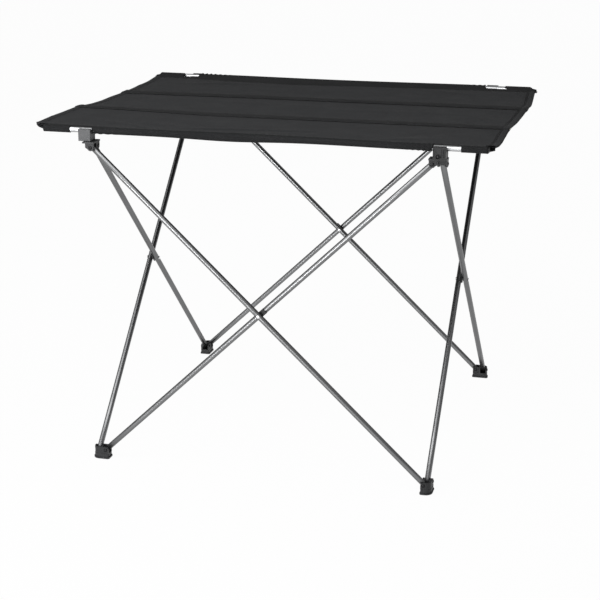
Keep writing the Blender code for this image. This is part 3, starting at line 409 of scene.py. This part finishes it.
def sweep(name, centres, radius, wall, made_of, sides=48, chamfer=0.00025):
    """A hollow tube along the centres, with rounded rims and its length in v."""
    centres = np.asarray(centres, dtype=float)
    steps = np.linalg.norm(np.diff(centres, axis=0), axis=1)
    along = np.concatenate([[0.0], np.cumsum(steps)])
    length = along[-1]
    inner = radius - wall
    profile = [(radius - chamfer, 0.0), (radius, chamfer)]
    profile += [(radius, s) for s in along[1:-1]]
    profile += [(radius, length - chamfer), (radius - chamfer, length), (inner + chamfer, length),
                (inner, length - chamfer)]
    profile += [(inner, s) for s in along[-2:0:-1]]
    profile += [(inner, chamfer), (inner + chamfer, 0.0)]
    angles = 2 * pi * np.arange(sides) / sides
    vertices, stations = [], []
    for r, s in profile:
        centre = np.array([np.interp(s, along, centres[:, k]) for k in range(3)])
        i = min(max(int(np.searchsorted(along, s)), 1), len(along) - 1)
        ahead = centres[min(i + 1, len(along) - 1)] - centres[max(i - 2, 0)]
        ahead /= np.linalg.norm(ahead)
        across = np.cross(ahead, (0.0, 0.0, 1.0))
        across /= np.linalg.norm(across)
        up = np.cross(across, ahead)
        for a in angles:
            vertices.append(centre + r * (cos(a) * across + sin(a) * up))
        stations.append(s)
    count = len(profile)
    faces, uvs = [], []
    for ring in range(count):
        after = (ring + 1) % count
        for i in range(sides):
            j = (i + 1) % sides
            faces.append((ring * sides + i, ring * sides + j, after * sides + j, after * sides + i))
            left, right = 2 * pi * radius * i / sides, 2 * pi * radius * (i + 1) / sides
            uvs += [(left, stations[ring]), (right, stations[ring]),
                    (right, stations[after]), (left, stations[after])]
    return mesh_from(name, vertices, faces, [made_of], uvs, 50)


def axis_of(name):
    """Middle, direction and half-length of a straight CAD node."""
    points = node_points(name)
    middle = (points.min(axis=0) + points.max(axis=0)) / 2
    direction = np.linalg.svd(points - points.mean(axis=0), full_matrices=False)[2][0]
    reach = (points - middle) @ direction
    return middle, direction, (reach.max() - reach.min()) / 2


def stand_for(piece, name):
    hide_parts(name)
    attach(piece, body_of_node(name))
    return piece


def add_legs():
    for face in FACES:
        for kind in ("inner", "outer"):
            name = f"leg_{face}_{kind}"
            middle, direction, half = axis_of(name)
            points = node_points(name)
            radius = np.linalg.norm(np.cross(points - middle, direction), axis=1).max()
            centres = [middle + direction * half * t for t in np.linspace(-1, 1, 9)]
            tube = sweep(f"tube_{face}_{kind}", centres, radius, LEG_WALL, ANODISED)
            stand_for(tube, name)


def bow(x):
    if abs(x) >= BOW_END:
        return 0.0
    return RAIL_BOW * (1 + cos(pi * x / BOW_END)) / 2


def add_rails():
    for name, side in (("front", -1), ("rear", 1)):
        xs = np.linspace(-RAIL_HALF_LENGTH, RAIL_HALF_LENGTH, 81)
        centres = [(x, side * (RAIL_Y - bow(x)), RAIL_HEIGHT) for x in xs]
        tube = sweep(f"rail_tube_{name}", centres, RAIL_RADIUS, RAIL_WALL, BRIGHT)
        stand_for(tube, f"rail_{name}")


def lathe(name, profile, origin, axis, made_of, sides=40):
    """Turn (radius, height) points round an axis through the origin."""
    axis = Vector(axis).normalized()
    turn = axis.to_track_quat("Z", "Y").to_matrix()
    vertices, faces = [], []
    for radius, height in profile:
        for i in range(sides):
            a = 2 * pi * i / sides
            vertices.append(Vector(origin) + turn @ Vector((radius * cos(a), radius * sin(a), height)))
    rings = len(profile)
    for ring in range(rings - 1):
        low, high = ring * sides, (ring + 1) * sides
        for i in range(sides):
            j = (i + 1) % sides
            faces.append((low + i, low + j, high + j, high + i))
    faces.append(tuple(range(sides))[::-1])
    faces.append(tuple((rings - 1) * sides + i for i in range(sides)))
    return mesh_from(name, vertices, faces, [made_of], None, 45)


def dome(radius, base, height, inner=0.0, steps=6):
    """Profile of a rivet head from its rim to its crown."""
    made = []
    for i in range(steps + 1):
        a = pi / 2 * i / steps
        made.append((max(radius * cos(a), inner), base + height * sin(a)))
    return made


def fine_rivet(name, made_of):
    """A round rivet where the CAD one is, with a domed head where that has one."""
    points = node_points(name)
    low, high = points.min(axis=0), points.max(axis=0)
    axis = int(np.argmax(high - low))
    middle = (low + high) / 2
    others = [k for k in range(3) if k != axis]
    radial = np.hypot(points[:, others[0]] - middle[others[0]], points[:, others[1]] - middle[others[1]])
    along = points[:, axis]
    clear = radial[radial > AXIS_CLEAR]
    pin = clear.min() if len(clear) else radial.max()
    wide = radial > pin * HEAD_OVER_PIN
    head = radial.max()
    profile, ends = [], []
    for end, sign in ((low[axis], -1), (high[axis], 1)):
        near = wide & (np.abs(along - end) < HEAD_HEIGHT)
        rim = along[near & (radial > head * 0.95)]
        ends.append((end, (rim.max() if sign < 0 else rim.min()) if len(rim) else None))
    (start, start_rim), (stop, stop_rim) = ends
    if start_rim is not None:
        profile += [(r, start_rim - (h - start_rim)) for r, h in
                    reversed(dome(head, start_rim, start_rim - start, HEAD_CROWN))]
        profile.append((pin, start_rim))
    else:
        profile.append((pin, start))
    if stop_rim is not None:
        profile.append((pin, stop_rim))
        profile += dome(head, stop_rim, stop - stop_rim, HEAD_CROWN)
    else:
        profile.append((pin, stop))
    origin = middle.copy()
    origin[axis] = 0.0
    direction = [0.0, 0.0, 0.0]
    direction[axis] = 1.0
    piece = lathe(f"fine_{name}", profile, origin, direction, made_of)
    return stand_for(piece, name)


def add_rivets():
    for face in FACES:
        fine_rivet(f"crossing_rivet_{face}", STEEL)
    for corner in CORNERS:
        for kind in ("foot_inner_rivet", "foot_outer_rivet", "hub_inner_rivet", "hub_outer_rivet"):
            fine_rivet(f"{kind}_{corner}", SCREW)
        fine_rivet(f"clip_screw_{corner}", SCREW)


def round_edges(obj, width, segments=2):
    """Welded and bevelled by modifiers, so the CAD mesh itself stays as it is."""
    weld = obj.modifiers.new("weld", "WELD")
    weld.merge_threshold = 0.00002
    bevel = obj.modifiers.new("round", "BEVEL")
    bevel.width = width
    bevel.segments = segments
    bevel.limit_method = "ANGLE"
    bevel.angle_limit = radians(40)
    bevel.use_clamp_overlap = True
    bevel.harden_normals = False


def dress_nodes():
    """Materials on the CAD nodes whose own shape stays."""
    finishes = (("foot_", FOOT_PLASTIC, 0.00035), ("hub_", HUB_PLASTIC, 0.00030),
                ("rail_clip_", CLIP_PLASTIC, 0.00030), ("crossing_spacer_", HUB_PLASTIC, 0.00025),
                ("rail_plug_", PLUG_PLASTIC, 0.00020), ("stiffener_", BATTEN, 0.00020))
    # These two clips turn their ribs to the front and get a darker copy of the clip nylon: painted shade
    shaded_clips = ("rail_clip_front_right", "rail_clip_rear_left")
    for name, obj in nodes.items():
        if "rivet" in name:
            continue
        for start, finish, width in finishes:
            if name.startswith(start):
                for slot in obj.material_slots:
                    slot.material = SHADED_CLIP_PLASTIC if name in shaded_clips else finish
                round_edges(obj, width)


# Cloth top

def smooth_step(t):
    t = np.clip(t, 0.0, 1.0)
    return t * t * (3 - 2 * t)


def tangent_angles(radius):
    """Angles on the sleeve's circle where the lines from the seam touch it."""
    spread = acos(radius / SEAM_INSET)
    return spread, 2 * pi - spread


def section():
    """The cloth's line across the table: (y, height, part) from the front seam underneath, round
    the front rail, over the top and round the rear rail, back to the rear seam underneath. The
    parts: 0 the sheet, 1 a sleeve under its rail, 2 round it and 3 over it."""
    first, last = tangent_angles(SLEEVE_RADIUS)
    half = CLOTH / 2

    def on_sleeve(a):
        return SLEEVE_RADIUS * cos(a), SLEEVE_RADIUS * sin(a)

    def straight(start, end, part, shares):
        return [(start[0] + (end[0] - start[0]) * t, start[1] + (end[1] - start[1]) * t, part)
                for t in shares]

    def sleeve(side):
        """From the seam under the rail, outside round it and back to the seam on top."""
        shares = np.linspace(0, 1, 9)
        made = straight((SEAM_INSET, -half), on_sleeve(last), 1, shares[:-1])
        made += [(*on_sleeve(last + (first - last) * t), 2) for t in np.linspace(0, 1, 22)]
        made += straight(on_sleeve(first), (SEAM_INSET, half), 3, shares[1:])
        return [(side * (RAIL_Y - inward), up, part) for inward, up, part in made]
    front = sleeve(-1)
    rear = sleeve(1)[::-1]
    seam = RAIL_Y - SEAM_INSET
    ys = np.linspace(-seam, seam, 131)[1:-1]
    middle = [(y, sheet_height(y) + half, 0) for y in ys]
    return front + middle + rear


def sheet_height(y):
    if abs(y) <= CENTRE_FLAT:
        return -SHEET_SAG
    share = min((abs(y) - CENTRE_FLAT) / (RAIL_Y - SEAM_INSET - CENTRE_FLAT), 1.0)
    return -SHEET_SAG * (1 - share * share)


def band_share(y):
    """1 on a band, falling to 0 at its edges."""
    off = abs(abs(y) - BAND_OFFSET)
    return float(smooth_step((BAND_HALF - off) / (BAND_HALF - BAND_TOP_HALF)))


def off_square(x, y):
    """How far the cloth at (x, y) lies outwards of its square place, and above it."""
    table = np.array(LEFT_HEM if x < 0 else RIGHT_HEM)
    share = float(smooth_step((abs(x) - OFF_SQUARE_FROM) / OFF_SQUARE_OVER))
    before, over = RAIL_FADE[0 if y < 0 else 1]
    at_rail = float(smooth_step((abs(y) - (RAIL_Y - before)) / over))
    outwards, up = (float(np.interp(y, table[:, 0], table[:, k])) * share * (1 - at_rail)
                    for k in (1, 2))
    end = float(smooth_step((abs(x) - SLEEVE_END_FROM) / SLEEVE_END_OVER))
    outwards += CORNER_SHIFT[(-1 if x < 0 else 1, -1 if y < 0 else 1)][0] * at_rail * end
    return (-outwards if x < 0 else outwards), up


def seam_shift(x, y):
    """How far a point near the rear seam has come forward with it."""
    seam = RAIL_Y - SEAM_INSET
    if y <= REAR_SEAM_FROM:
        return 0.0
    if y < seam:
        near = (y - REAR_SEAM_FROM) / (seam - REAR_SEAM_FROM)
    else:
        near = 1 - (y - seam) / SEAM_INSET
    table = np.array(REAR_SEAM)
    return float(np.interp(x, table[:, 0], table[:, 1])) * float(smooth_step(near))


def sleeve_hang(x):
    """How far the front sleeve hangs under its rail."""
    return SLACK * float(np.exp(-((x - SLACK_AT) / SLACK_REACH) ** 2))


def edge_droop(x, y):
    """How far a side edge hangs between the ends of bands and rails."""
    if abs(x) <= EDGE_DROOP_START:
        return 0.0
    along = (abs(x) - EDGE_DROOP_START) / (SHEET_HALF - EDGE_DROOP_START)
    inner, outer = BAND_OFFSET - BAND_HALF, BAND_OFFSET + BAND_HALF
    seam = RAIL_Y - SEAM_INSET
    if abs(y) < inner:
        hang = cos(pi / 2 * abs(y) / inner)
    elif outer < abs(y) < seam:
        hang = sin(pi * (abs(y) - outer) / (seam - outer))
    else:
        hang = 0.0
    if x < 0:
        hang *= LEFT_DROOP[0 if y < -outer else 1 if y < inner else 2]
    return EDGE_DROOP * along * along * hang


def pucker(x, y):
    """Height of the sleeve's gathers at (x, y)."""
    rise = 0.0
    for side_x, side_y, start, end, folds, height in GATHERS:
        if side_y * y <= 0:
            continue
        at = (start - side_x * x) / (start - end)
        if 0.0 <= at <= 1.0:
            near = (1 - at) ** 1.3
            rise += height * near * sin(2 * pi * folds * at ** 0.85 + 0.6)
    return rise


def wrinkles(x, y):
    """Height of the sheet's folds: slack ones near the front rail and pulls from the clips."""
    rise = 0.0
    for at_x, at_y, turn, length, width, height in FOLDS:
        dx, dy = x - at_x, y - at_y
        along = dx * cos(turn) + dy * sin(turn)
        across = -dx * sin(turn) + dy * cos(turn)
        rise += height * np.exp(-(along / length) ** 2 - (across / width) ** 2)
    return rise


def cloth_point(t, y, up, part, lift=0.0, full=False):
    """Place a point of the cloth: t runs along the table from -1 to 1, over the sheet's full
    length everywhere if `full`."""
    outer = 1.0 if part == 2 else float(smooth_step((abs(y) - (RAIL_Y - NARROW_FROM)) / NARROW_OVER))
    half = SHEET_HALF if full else SHEET_HALF + (SLEEVE_HALF - SHEET_HALF) * outer
    x = t * half
    pull_from = BAND_OFFSET + BAND_HALF
    pull = min(max((abs(y) - pull_from) / (RAIL_Y - SEAM_INSET - pull_from), 0.0), 1.0)
    inwards = bow(x) * pull
    placed = y - inwards if y > 0 else y + inwards
    placed -= seam_shift(x, y)
    z = RAIL_HEIGHT + up + lift - edge_droop(x, y)
    across, raised = off_square(x, y)
    if y < 0 and part in (1, 2) and up < 0:
        z -= sleeve_hang(x) * min(-up / SLEEVE_RADIUS, 1.0)
    if part == 0:
        z += wrinkles(x, y) * (1 - band_share(y))
    rise = pucker(x, y)
    if part in (2, 3) and rise:
        centre_y = (RAIL_Y - bow(x)) * (1 if y > 0 else -1)
        away = np.array([placed - centre_y, z - RAIL_HEIGHT])
        away /= max(np.linalg.norm(away), 1e-6)
        fade = 1.0 if part == 2 else float(smooth_step((abs(y) - (RAIL_Y - SEAM_INSET)) / SEAM_INSET))
        rise = max(rise, GATHER_DEEPEST) * fade
        placed += away[0] * rise
        z += away[1] * rise
    return x + across, placed, z + raised


def grid_mesh(name, rows, columns, place, materials, choose=None, skip=None, thickness=CLOTH):
    """A sheet through a grid of points, with its own metres as its UV map and a solid thickness.
    Returns it with its length over the rows and over the columns."""
    points = np.array([[place(row, column) for column in columns] for row in rows])
    across = np.linalg.norm(np.diff(points, axis=0), axis=2).mean(axis=1)
    v = np.concatenate([[0.0], np.cumsum(across)])
    middle = points[len(rows) // 2]
    u = np.concatenate([[0.0], np.cumsum(np.linalg.norm(np.diff(middle, axis=0), axis=1))])
    width = len(columns)
    faces, uvs, chosen = [], [], []
    for i in range(len(rows) - 1):
        for j in range(width - 1):
            if skip and skip(i, j):
                continue
            low, high = i * width + j, (i + 1) * width + j
            faces.append((low, low + 1, high + 1, high))
            uvs += [(u[j], v[i]), (u[j + 1], v[i]), (u[j + 1], v[i + 1]), (u[j], v[i + 1])]
            chosen.append(choose(i, j) if choose else 0)
    used = sorted({k for face in faces for k in face})
    number = {k: n for n, k in enumerate(used)}
    flat = points.reshape(-1, 3)[used]
    obj = mesh_from(name, flat, [tuple(number[k] for k in face) for face in faces], materials, uvs, 60)
    obj.data.polygons.foreach_set("material_index", chosen)
    solid = obj.modifiers.new("thickness", "SOLIDIFY")
    solid.thickness = thickness
    solid.offset = 0.0
    return obj, float(v[-1]), float(u[-1])


def add_sheet():
    """The top in one piece, with its sleeves round the rails and open at the clips."""
    line = section()
    rows = list(range(len(line)))
    # Columns 2.5 mm apart, and one at each end of each cut-out
    marks = sorted({notch[0] * value / SLEEVE_HALF for notch in NOTCHES for value in notch[2:5]})
    ts = sorted(set(np.round(np.linspace(-1, 1, 261), 5)) | {round(m, 5) for m in marks})
    kept = [ts[0]]
    for t in ts[1:]:
        if t - kept[-1] > 0.002 or any(abs(t - m) < 1e-4 for m in marks):
            kept.append(t)

    def place(row, t):
        y, up, part = line[row]
        dip = BAND_DIP * band_share(y) if part == 0 else 0.0
        return cloth_point(t, y, up - dip, part)

    def skip(i, j):
        y = (line[i][0] + line[i + 1][0]) / 2
        up = (line[i][1] + line[i + 1][1]) / 2
        if line[i][2] == 0 or line[i + 1][2] == 0:
            return False
        x = (kept[j] + kept[j + 1]) / 2 * SLEEVE_HALF
        for side_x, side_y, under_start, over_start, end, back in NOTCHES:
            if side_y * y < 0 or side_x * x > end:
                continue
            if up > 0 and side_x * x > over_start:
                return side_y * y > RAIL_Y - back
            if up <= 0 and side_x * x > under_start:
                return side_y * y > RAIL_Y - max(NOTCH_UNDER, back)
        return False

    # The sleeves get the darker cloth: on the rear partly darker fabric and partly painted shade, on the
    # front sleeve's face painted shade
    def choose(i, j):
        y, _, part = line[i]
        if part in (1, 2, 3) or line[i + 1][2] in (1, 2, 3):
            return 1 if y > 0 or part == 2 or y < FRONT_SHADE_STRIP - RAIL_Y else 0
        return 0
    return grid_mesh("top_cloth", rows, kept, place, [SHEET_CLOTH, DARK_CLOTH_AND_PAINTED_SHADE], choose, skip)


def add_bands():
    """Flat webbing over each stiffener."""
    made = []
    reach = SHEET_HALF - BAND_SHORT
    for name, side in (("front", -1), ("rear", 1)):
        offsets = np.array([-0.0130, -0.0122, -0.0110, -0.0100, -0.0092, -0.0060, 0.0, 0.0060,
                            0.0092, 0.0100, 0.0110, 0.0122, 0.0130])
        ys = side * BAND_OFFSET + offsets
        ts = np.linspace(-reach / SHEET_HALF, reach / SHEET_HALF, 121)

        def place(y, t):
            inside = float(smooth_step((BAND_HALF - abs(y - side * BAND_OFFSET)) / BAND_EASE))
            lift = CLOTH / 2 + CLOTH + 0.0001 + (BAND_RISE - CLOTH / 2) * inside
            return cloth_point(t, y, sheet_height(y), 0, lift, True)
        band = grid_mesh(f"band_{name}", ys, ts, place, [BAND_CLOTH])[0]
        made.append((band, (2 * BAND_HALF, 2 * reach)))
    return made


def add_hems():
    """The folded side hems, as a second layer on top, turned round the cut edge."""
    made = []
    seam = RAIL_Y - SEAM_INSET
    for name, side in (("left", -1), ("right", 1)):
        ys = np.concatenate([np.linspace(-seam - HEM_PAST_SEAM, -seam, 8)[:-1],
                             np.linspace(-seam, seam, 141),
                             np.linspace(seam, seam + HEM_PAST_SEAM, 8)[1:]])
        # Across the hem: out along the top, round the edge and back underneath
        layout = [(HEM_WIDTH, 0.0), (HEM_WIDTH - 0.0006, 0.7), (HEM_WIDTH - 0.0016, 0.7),
                  (HEM_WIDTH - 0.0030, 0.35), (HEM_WIDTH - 0.0046, 0.8), (0.0060, 1.1), (0.0025, 1.05),
                  (0.0008, 0.8), (0.0, 0.2), (-0.0002, -0.4), (0.0006, -1.1), (0.0025, -1.3),
                  (0.0070, -1.3), (HEM_WIDTH, -1.1)]

        def place(y, step):
            inset, level = layout[step]
            t = side * (SHEET_HALF - inset) / SHEET_HALF
            raised = CLOTH + HEM_RISE * 0.5
            band = band_share(y)
            lift = level * (raised + (BAND_RISE + 0.0004) * band * (1 if level > 0 else 0.7))
            corner = float(smooth_step((abs(y) - seam) / HEM_CORNER))
            up = sheet_height(min(abs(y), seam)) + CORNER_SHIFT[(side, -1 if y < 0 else 1)][1] * corner
            return cloth_point(t, y, up, 0, lift, True)

        # The right hem's inner strip gets the darker cloth: a painted shadow line along its step; the
        # left hem stays plain
        def choose(i, j):
            return 1 if side > 0 and j < 4 else 0
        hem, length, width = grid_mesh(f"hem_{name}", list(ys), list(range(len(layout))), place,
                                       [SHEET_CLOTH, DARK_CLOTH_AND_PAINTED_SHADE], choose,
                                       thickness=HEM_THICKNESS)
        made.append((hem, (width, length)))
    return made


def add_stitches():
    """Rows of lock stitches: each a small rounded thread lying on the cloth."""
    seam = RAIL_Y - SEAM_INSET

    def along_x(y, end, lift):
        return [(x, y, lift) for x in np.arange(-end, end, STITCH_PITCH)]
    rows = []
    for side in (-1, 1):
        for edge in (-1, 1):
            rows.append(along_x(side * BAND_OFFSET + edge * BAND_SEAM, BAND_STITCH_END, ON_BAND))
        for inset in SEAM_ROWS:
            rows.append(along_x(side * (seam - inset), SEAM_STITCH_END, ON_SEAM))
        rows.append([(side * (SHEET_HALF - HEM_WIDTH + HEM_SEAM), y, ON_HEM)
                     for y in np.arange(-seam, seam, STITCH_PITCH)])
    ring = [(cos(2 * pi * k / 6), sin(2 * pi * k / 6)) for k in range(6)]
    # Rings of one thread: place along it, share of its radius, and height in radii
    shape = [(-0.5, 0.35, -0.5), (-0.25, 1.0, 0.1), (0.25, 1.0, 0.1), (0.5, 0.35, -0.5)]
    vertices, faces = [], []
    for row in rows:
        for start, end in zip(row[:-1], row[1:]):
            a, b = (np.array(cloth_point(p[0] / SHEET_HALF, p[1], sheet_height(p[1]), 0, p[2], True))
                    for p in (start, end))
            ahead = (b - a) / np.linalg.norm(b - a)
            across = np.cross((0.0, 0.0, 1.0), ahead)
            across /= np.linalg.norm(across)
            up = np.cross(ahead, across)
            first = len(vertices)
            for share, fat, sink in shape:
                centre = (a + b) / 2 + ahead * share * STITCH_LENGTH + up * sink * STITCH_RADIUS
                for c, s in ring:
                    vertices.append(centre + STITCH_RADIUS * fat * (c * across + s * up))
            for level in range(len(shape) - 1):
                low, high = first + level * 6, first + (level + 1) * 6
                for k in range(6):
                    m = (k + 1) % 6
                    faces.append((low + k, low + m, high + m, high + k))
            faces.append(tuple(first + k for k in range(6))[::-1])
            faces.append(tuple(first + (len(shape) - 1) * 6 + k for k in range(6)))
    return mesh_from("top_stitching", vertices, faces, [THREAD], None, 60)


def add_top():
    sheet, length, width = add_sheet()
    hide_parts("tabletop_cloth")
    bands, hems = add_bands(), add_hems()
    stitching = add_stitches()
    pieces = [piece for piece, _ in bands + hems] + [stitching]
    for piece in [sheet] + pieces:
        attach(piece, "tabletop")


# Studio

def seen_white(tree, plain):
    """1 for camera, glossy and transmission rays, and the plain level for the rest."""
    path = put(tree, "ShaderNodeLightPath")
    seen = arithmetic(tree, "MAXIMUM", path.outputs["Is Camera Ray"], path.outputs["Is Glossy Ray"])
    seen = arithmetic(tree, "MAXIMUM", seen, path.outputs["Is Transmission Ray"])
    level = put(tree, "ShaderNodeMapRange", {"To Min": plain, "To Max": 1.0})
    tree.links.new(seen, level.inputs["Value"])
    return level.outputs["Result"]


def add_world():
    world = bpy.data.worlds.new("studio")
    scene.world = world
    world.use_nodes = True
    tree = world.node_tree
    background = tree.nodes["Background"]
    # A white wall at the front left, greyer ones elsewhere and a grey ceiling: these give the
    # tubes their dark edges. Seen directly, all of it is white
    way = put(tree, "ShaderNodeSeparateXYZ")
    tree.links.new(put(tree, "ShaderNodeTexCoord").outputs["Generated"], way.inputs["Vector"])
    front = arithmetic(tree, "ADD", arithmetic(tree, "MULTIPLY", way.outputs["Y"], -0.90),
                       arithmetic(tree, "MULTIPLY", way.outputs["X"], -0.43))
    walls = ramp(tree, front, 0.30, 1.0, 0.63, 0.76)
    overhead = ramp(tree, way.outputs["Z"], 0.0, 1.0, 0.30, 0.65)
    room = blend_colours(tree, overhead, walls, (0.42, 0.42, 0.42, 1.0))
    seen = put(tree, "ShaderNodeLightPath").outputs["Is Camera Ray"]
    tree.links.new(blend_colours(tree, seen, room, (1.0, 1.0, 1.0, 1.0)), background.inputs["Color"])
    tree.links.new(seen_white(tree, ROOM_LIGHT), background.inputs["Strength"])


def add_floor():
    half = 12.0
    floor = mesh_from("floor", [(-half, -half, 0), (half, -half, 0), (half, half, 0), (-half, half, 0)],
                      [(0, 1, 2, 3)])
    made, tree, shader = start_material("pale_floor")
    shader.inputs["Base Color"].default_value = (0.90, 0.90, 0.90, 1.0)
    shader.inputs["Roughness"].default_value = 0.9
    shader.inputs["Specular IOR Level"].default_value = 0.0
    glow = put(tree, "ShaderNodeEmission", {"Color": (1.0, 1.0, 1.0, 1.0), "Strength": 1.0})
    mix = put(tree, "ShaderNodeMixShader")
    # Seen directly, most of the white comes from the glow, and the rest keeps the shadow
    share = arithmetic(tree, "MULTIPLY", seen_white(tree, 0.0), FLOOR_GLOW)
    tree.links.new(share, mix.inputs["Fac"])
    tree.links.new(shader.outputs["BSDF"], mix.inputs[1])
    tree.links.new(glow.outputs["Emission"], mix.inputs[2])
    tree.links.new(mix.outputs["Shader"], tree.nodes["Material Output"].inputs["Surface"])
    floor.data.materials.append(made)


def add_light(name, place, aim, size, power):
    light = bpy.data.lights.new(name, "AREA")
    light.shape = "RECTANGLE"
    light.size, light.size_y = size
    light.energy = power
    obj = link(bpy.data.objects.new(name, light))
    obj.location = place
    obj.rotation_euler = (Vector(aim) - Vector(place)).to_track_quat("-Z", "Y").to_euler()


def add_lights():
    add_light("key", (-1.7, -1.4, 2.2), (0, 0, 0.4), (2.1, 2.1), 20)
    add_light("overhead", (-0.25, -0.95, 1.3), (-0.1, -0.3, 0.5), (1.5, 0.9), 10)
    add_light("low", (-0.60, -1.9, 0.21), (-0.25, 0, 0.5), (0.62, 0.40), 14)


def add_camera():
    camera = bpy.data.cameras.new("camera")
    camera.sensor_width = CAMERA_SENSOR
    camera.lens = CAMERA_LENS
    camera.clip_end = 60.0
    obj = link(bpy.data.objects.new("camera", camera))
    turn = Matrix.Rotation(radians(CAMERA_YAW), 4, "Z")
    turn = turn @ Matrix.Rotation(radians(90 - CAMERA_PITCH), 4, "X")
    turn = turn @ Matrix.Rotation(radians(CAMERA_ROLL), 4, "Z")
    obj.matrix_world = Matrix.Translation(CAMERA_PLACE) @ turn
    scene.camera = obj


add_camera()
scene.view_settings.view_transform = "Standard"
add_world()
add_floor()
add_lights()
dress_nodes()
add_legs()
add_rails()
add_rivets()
add_top()
bpy.context.view_layer.update()
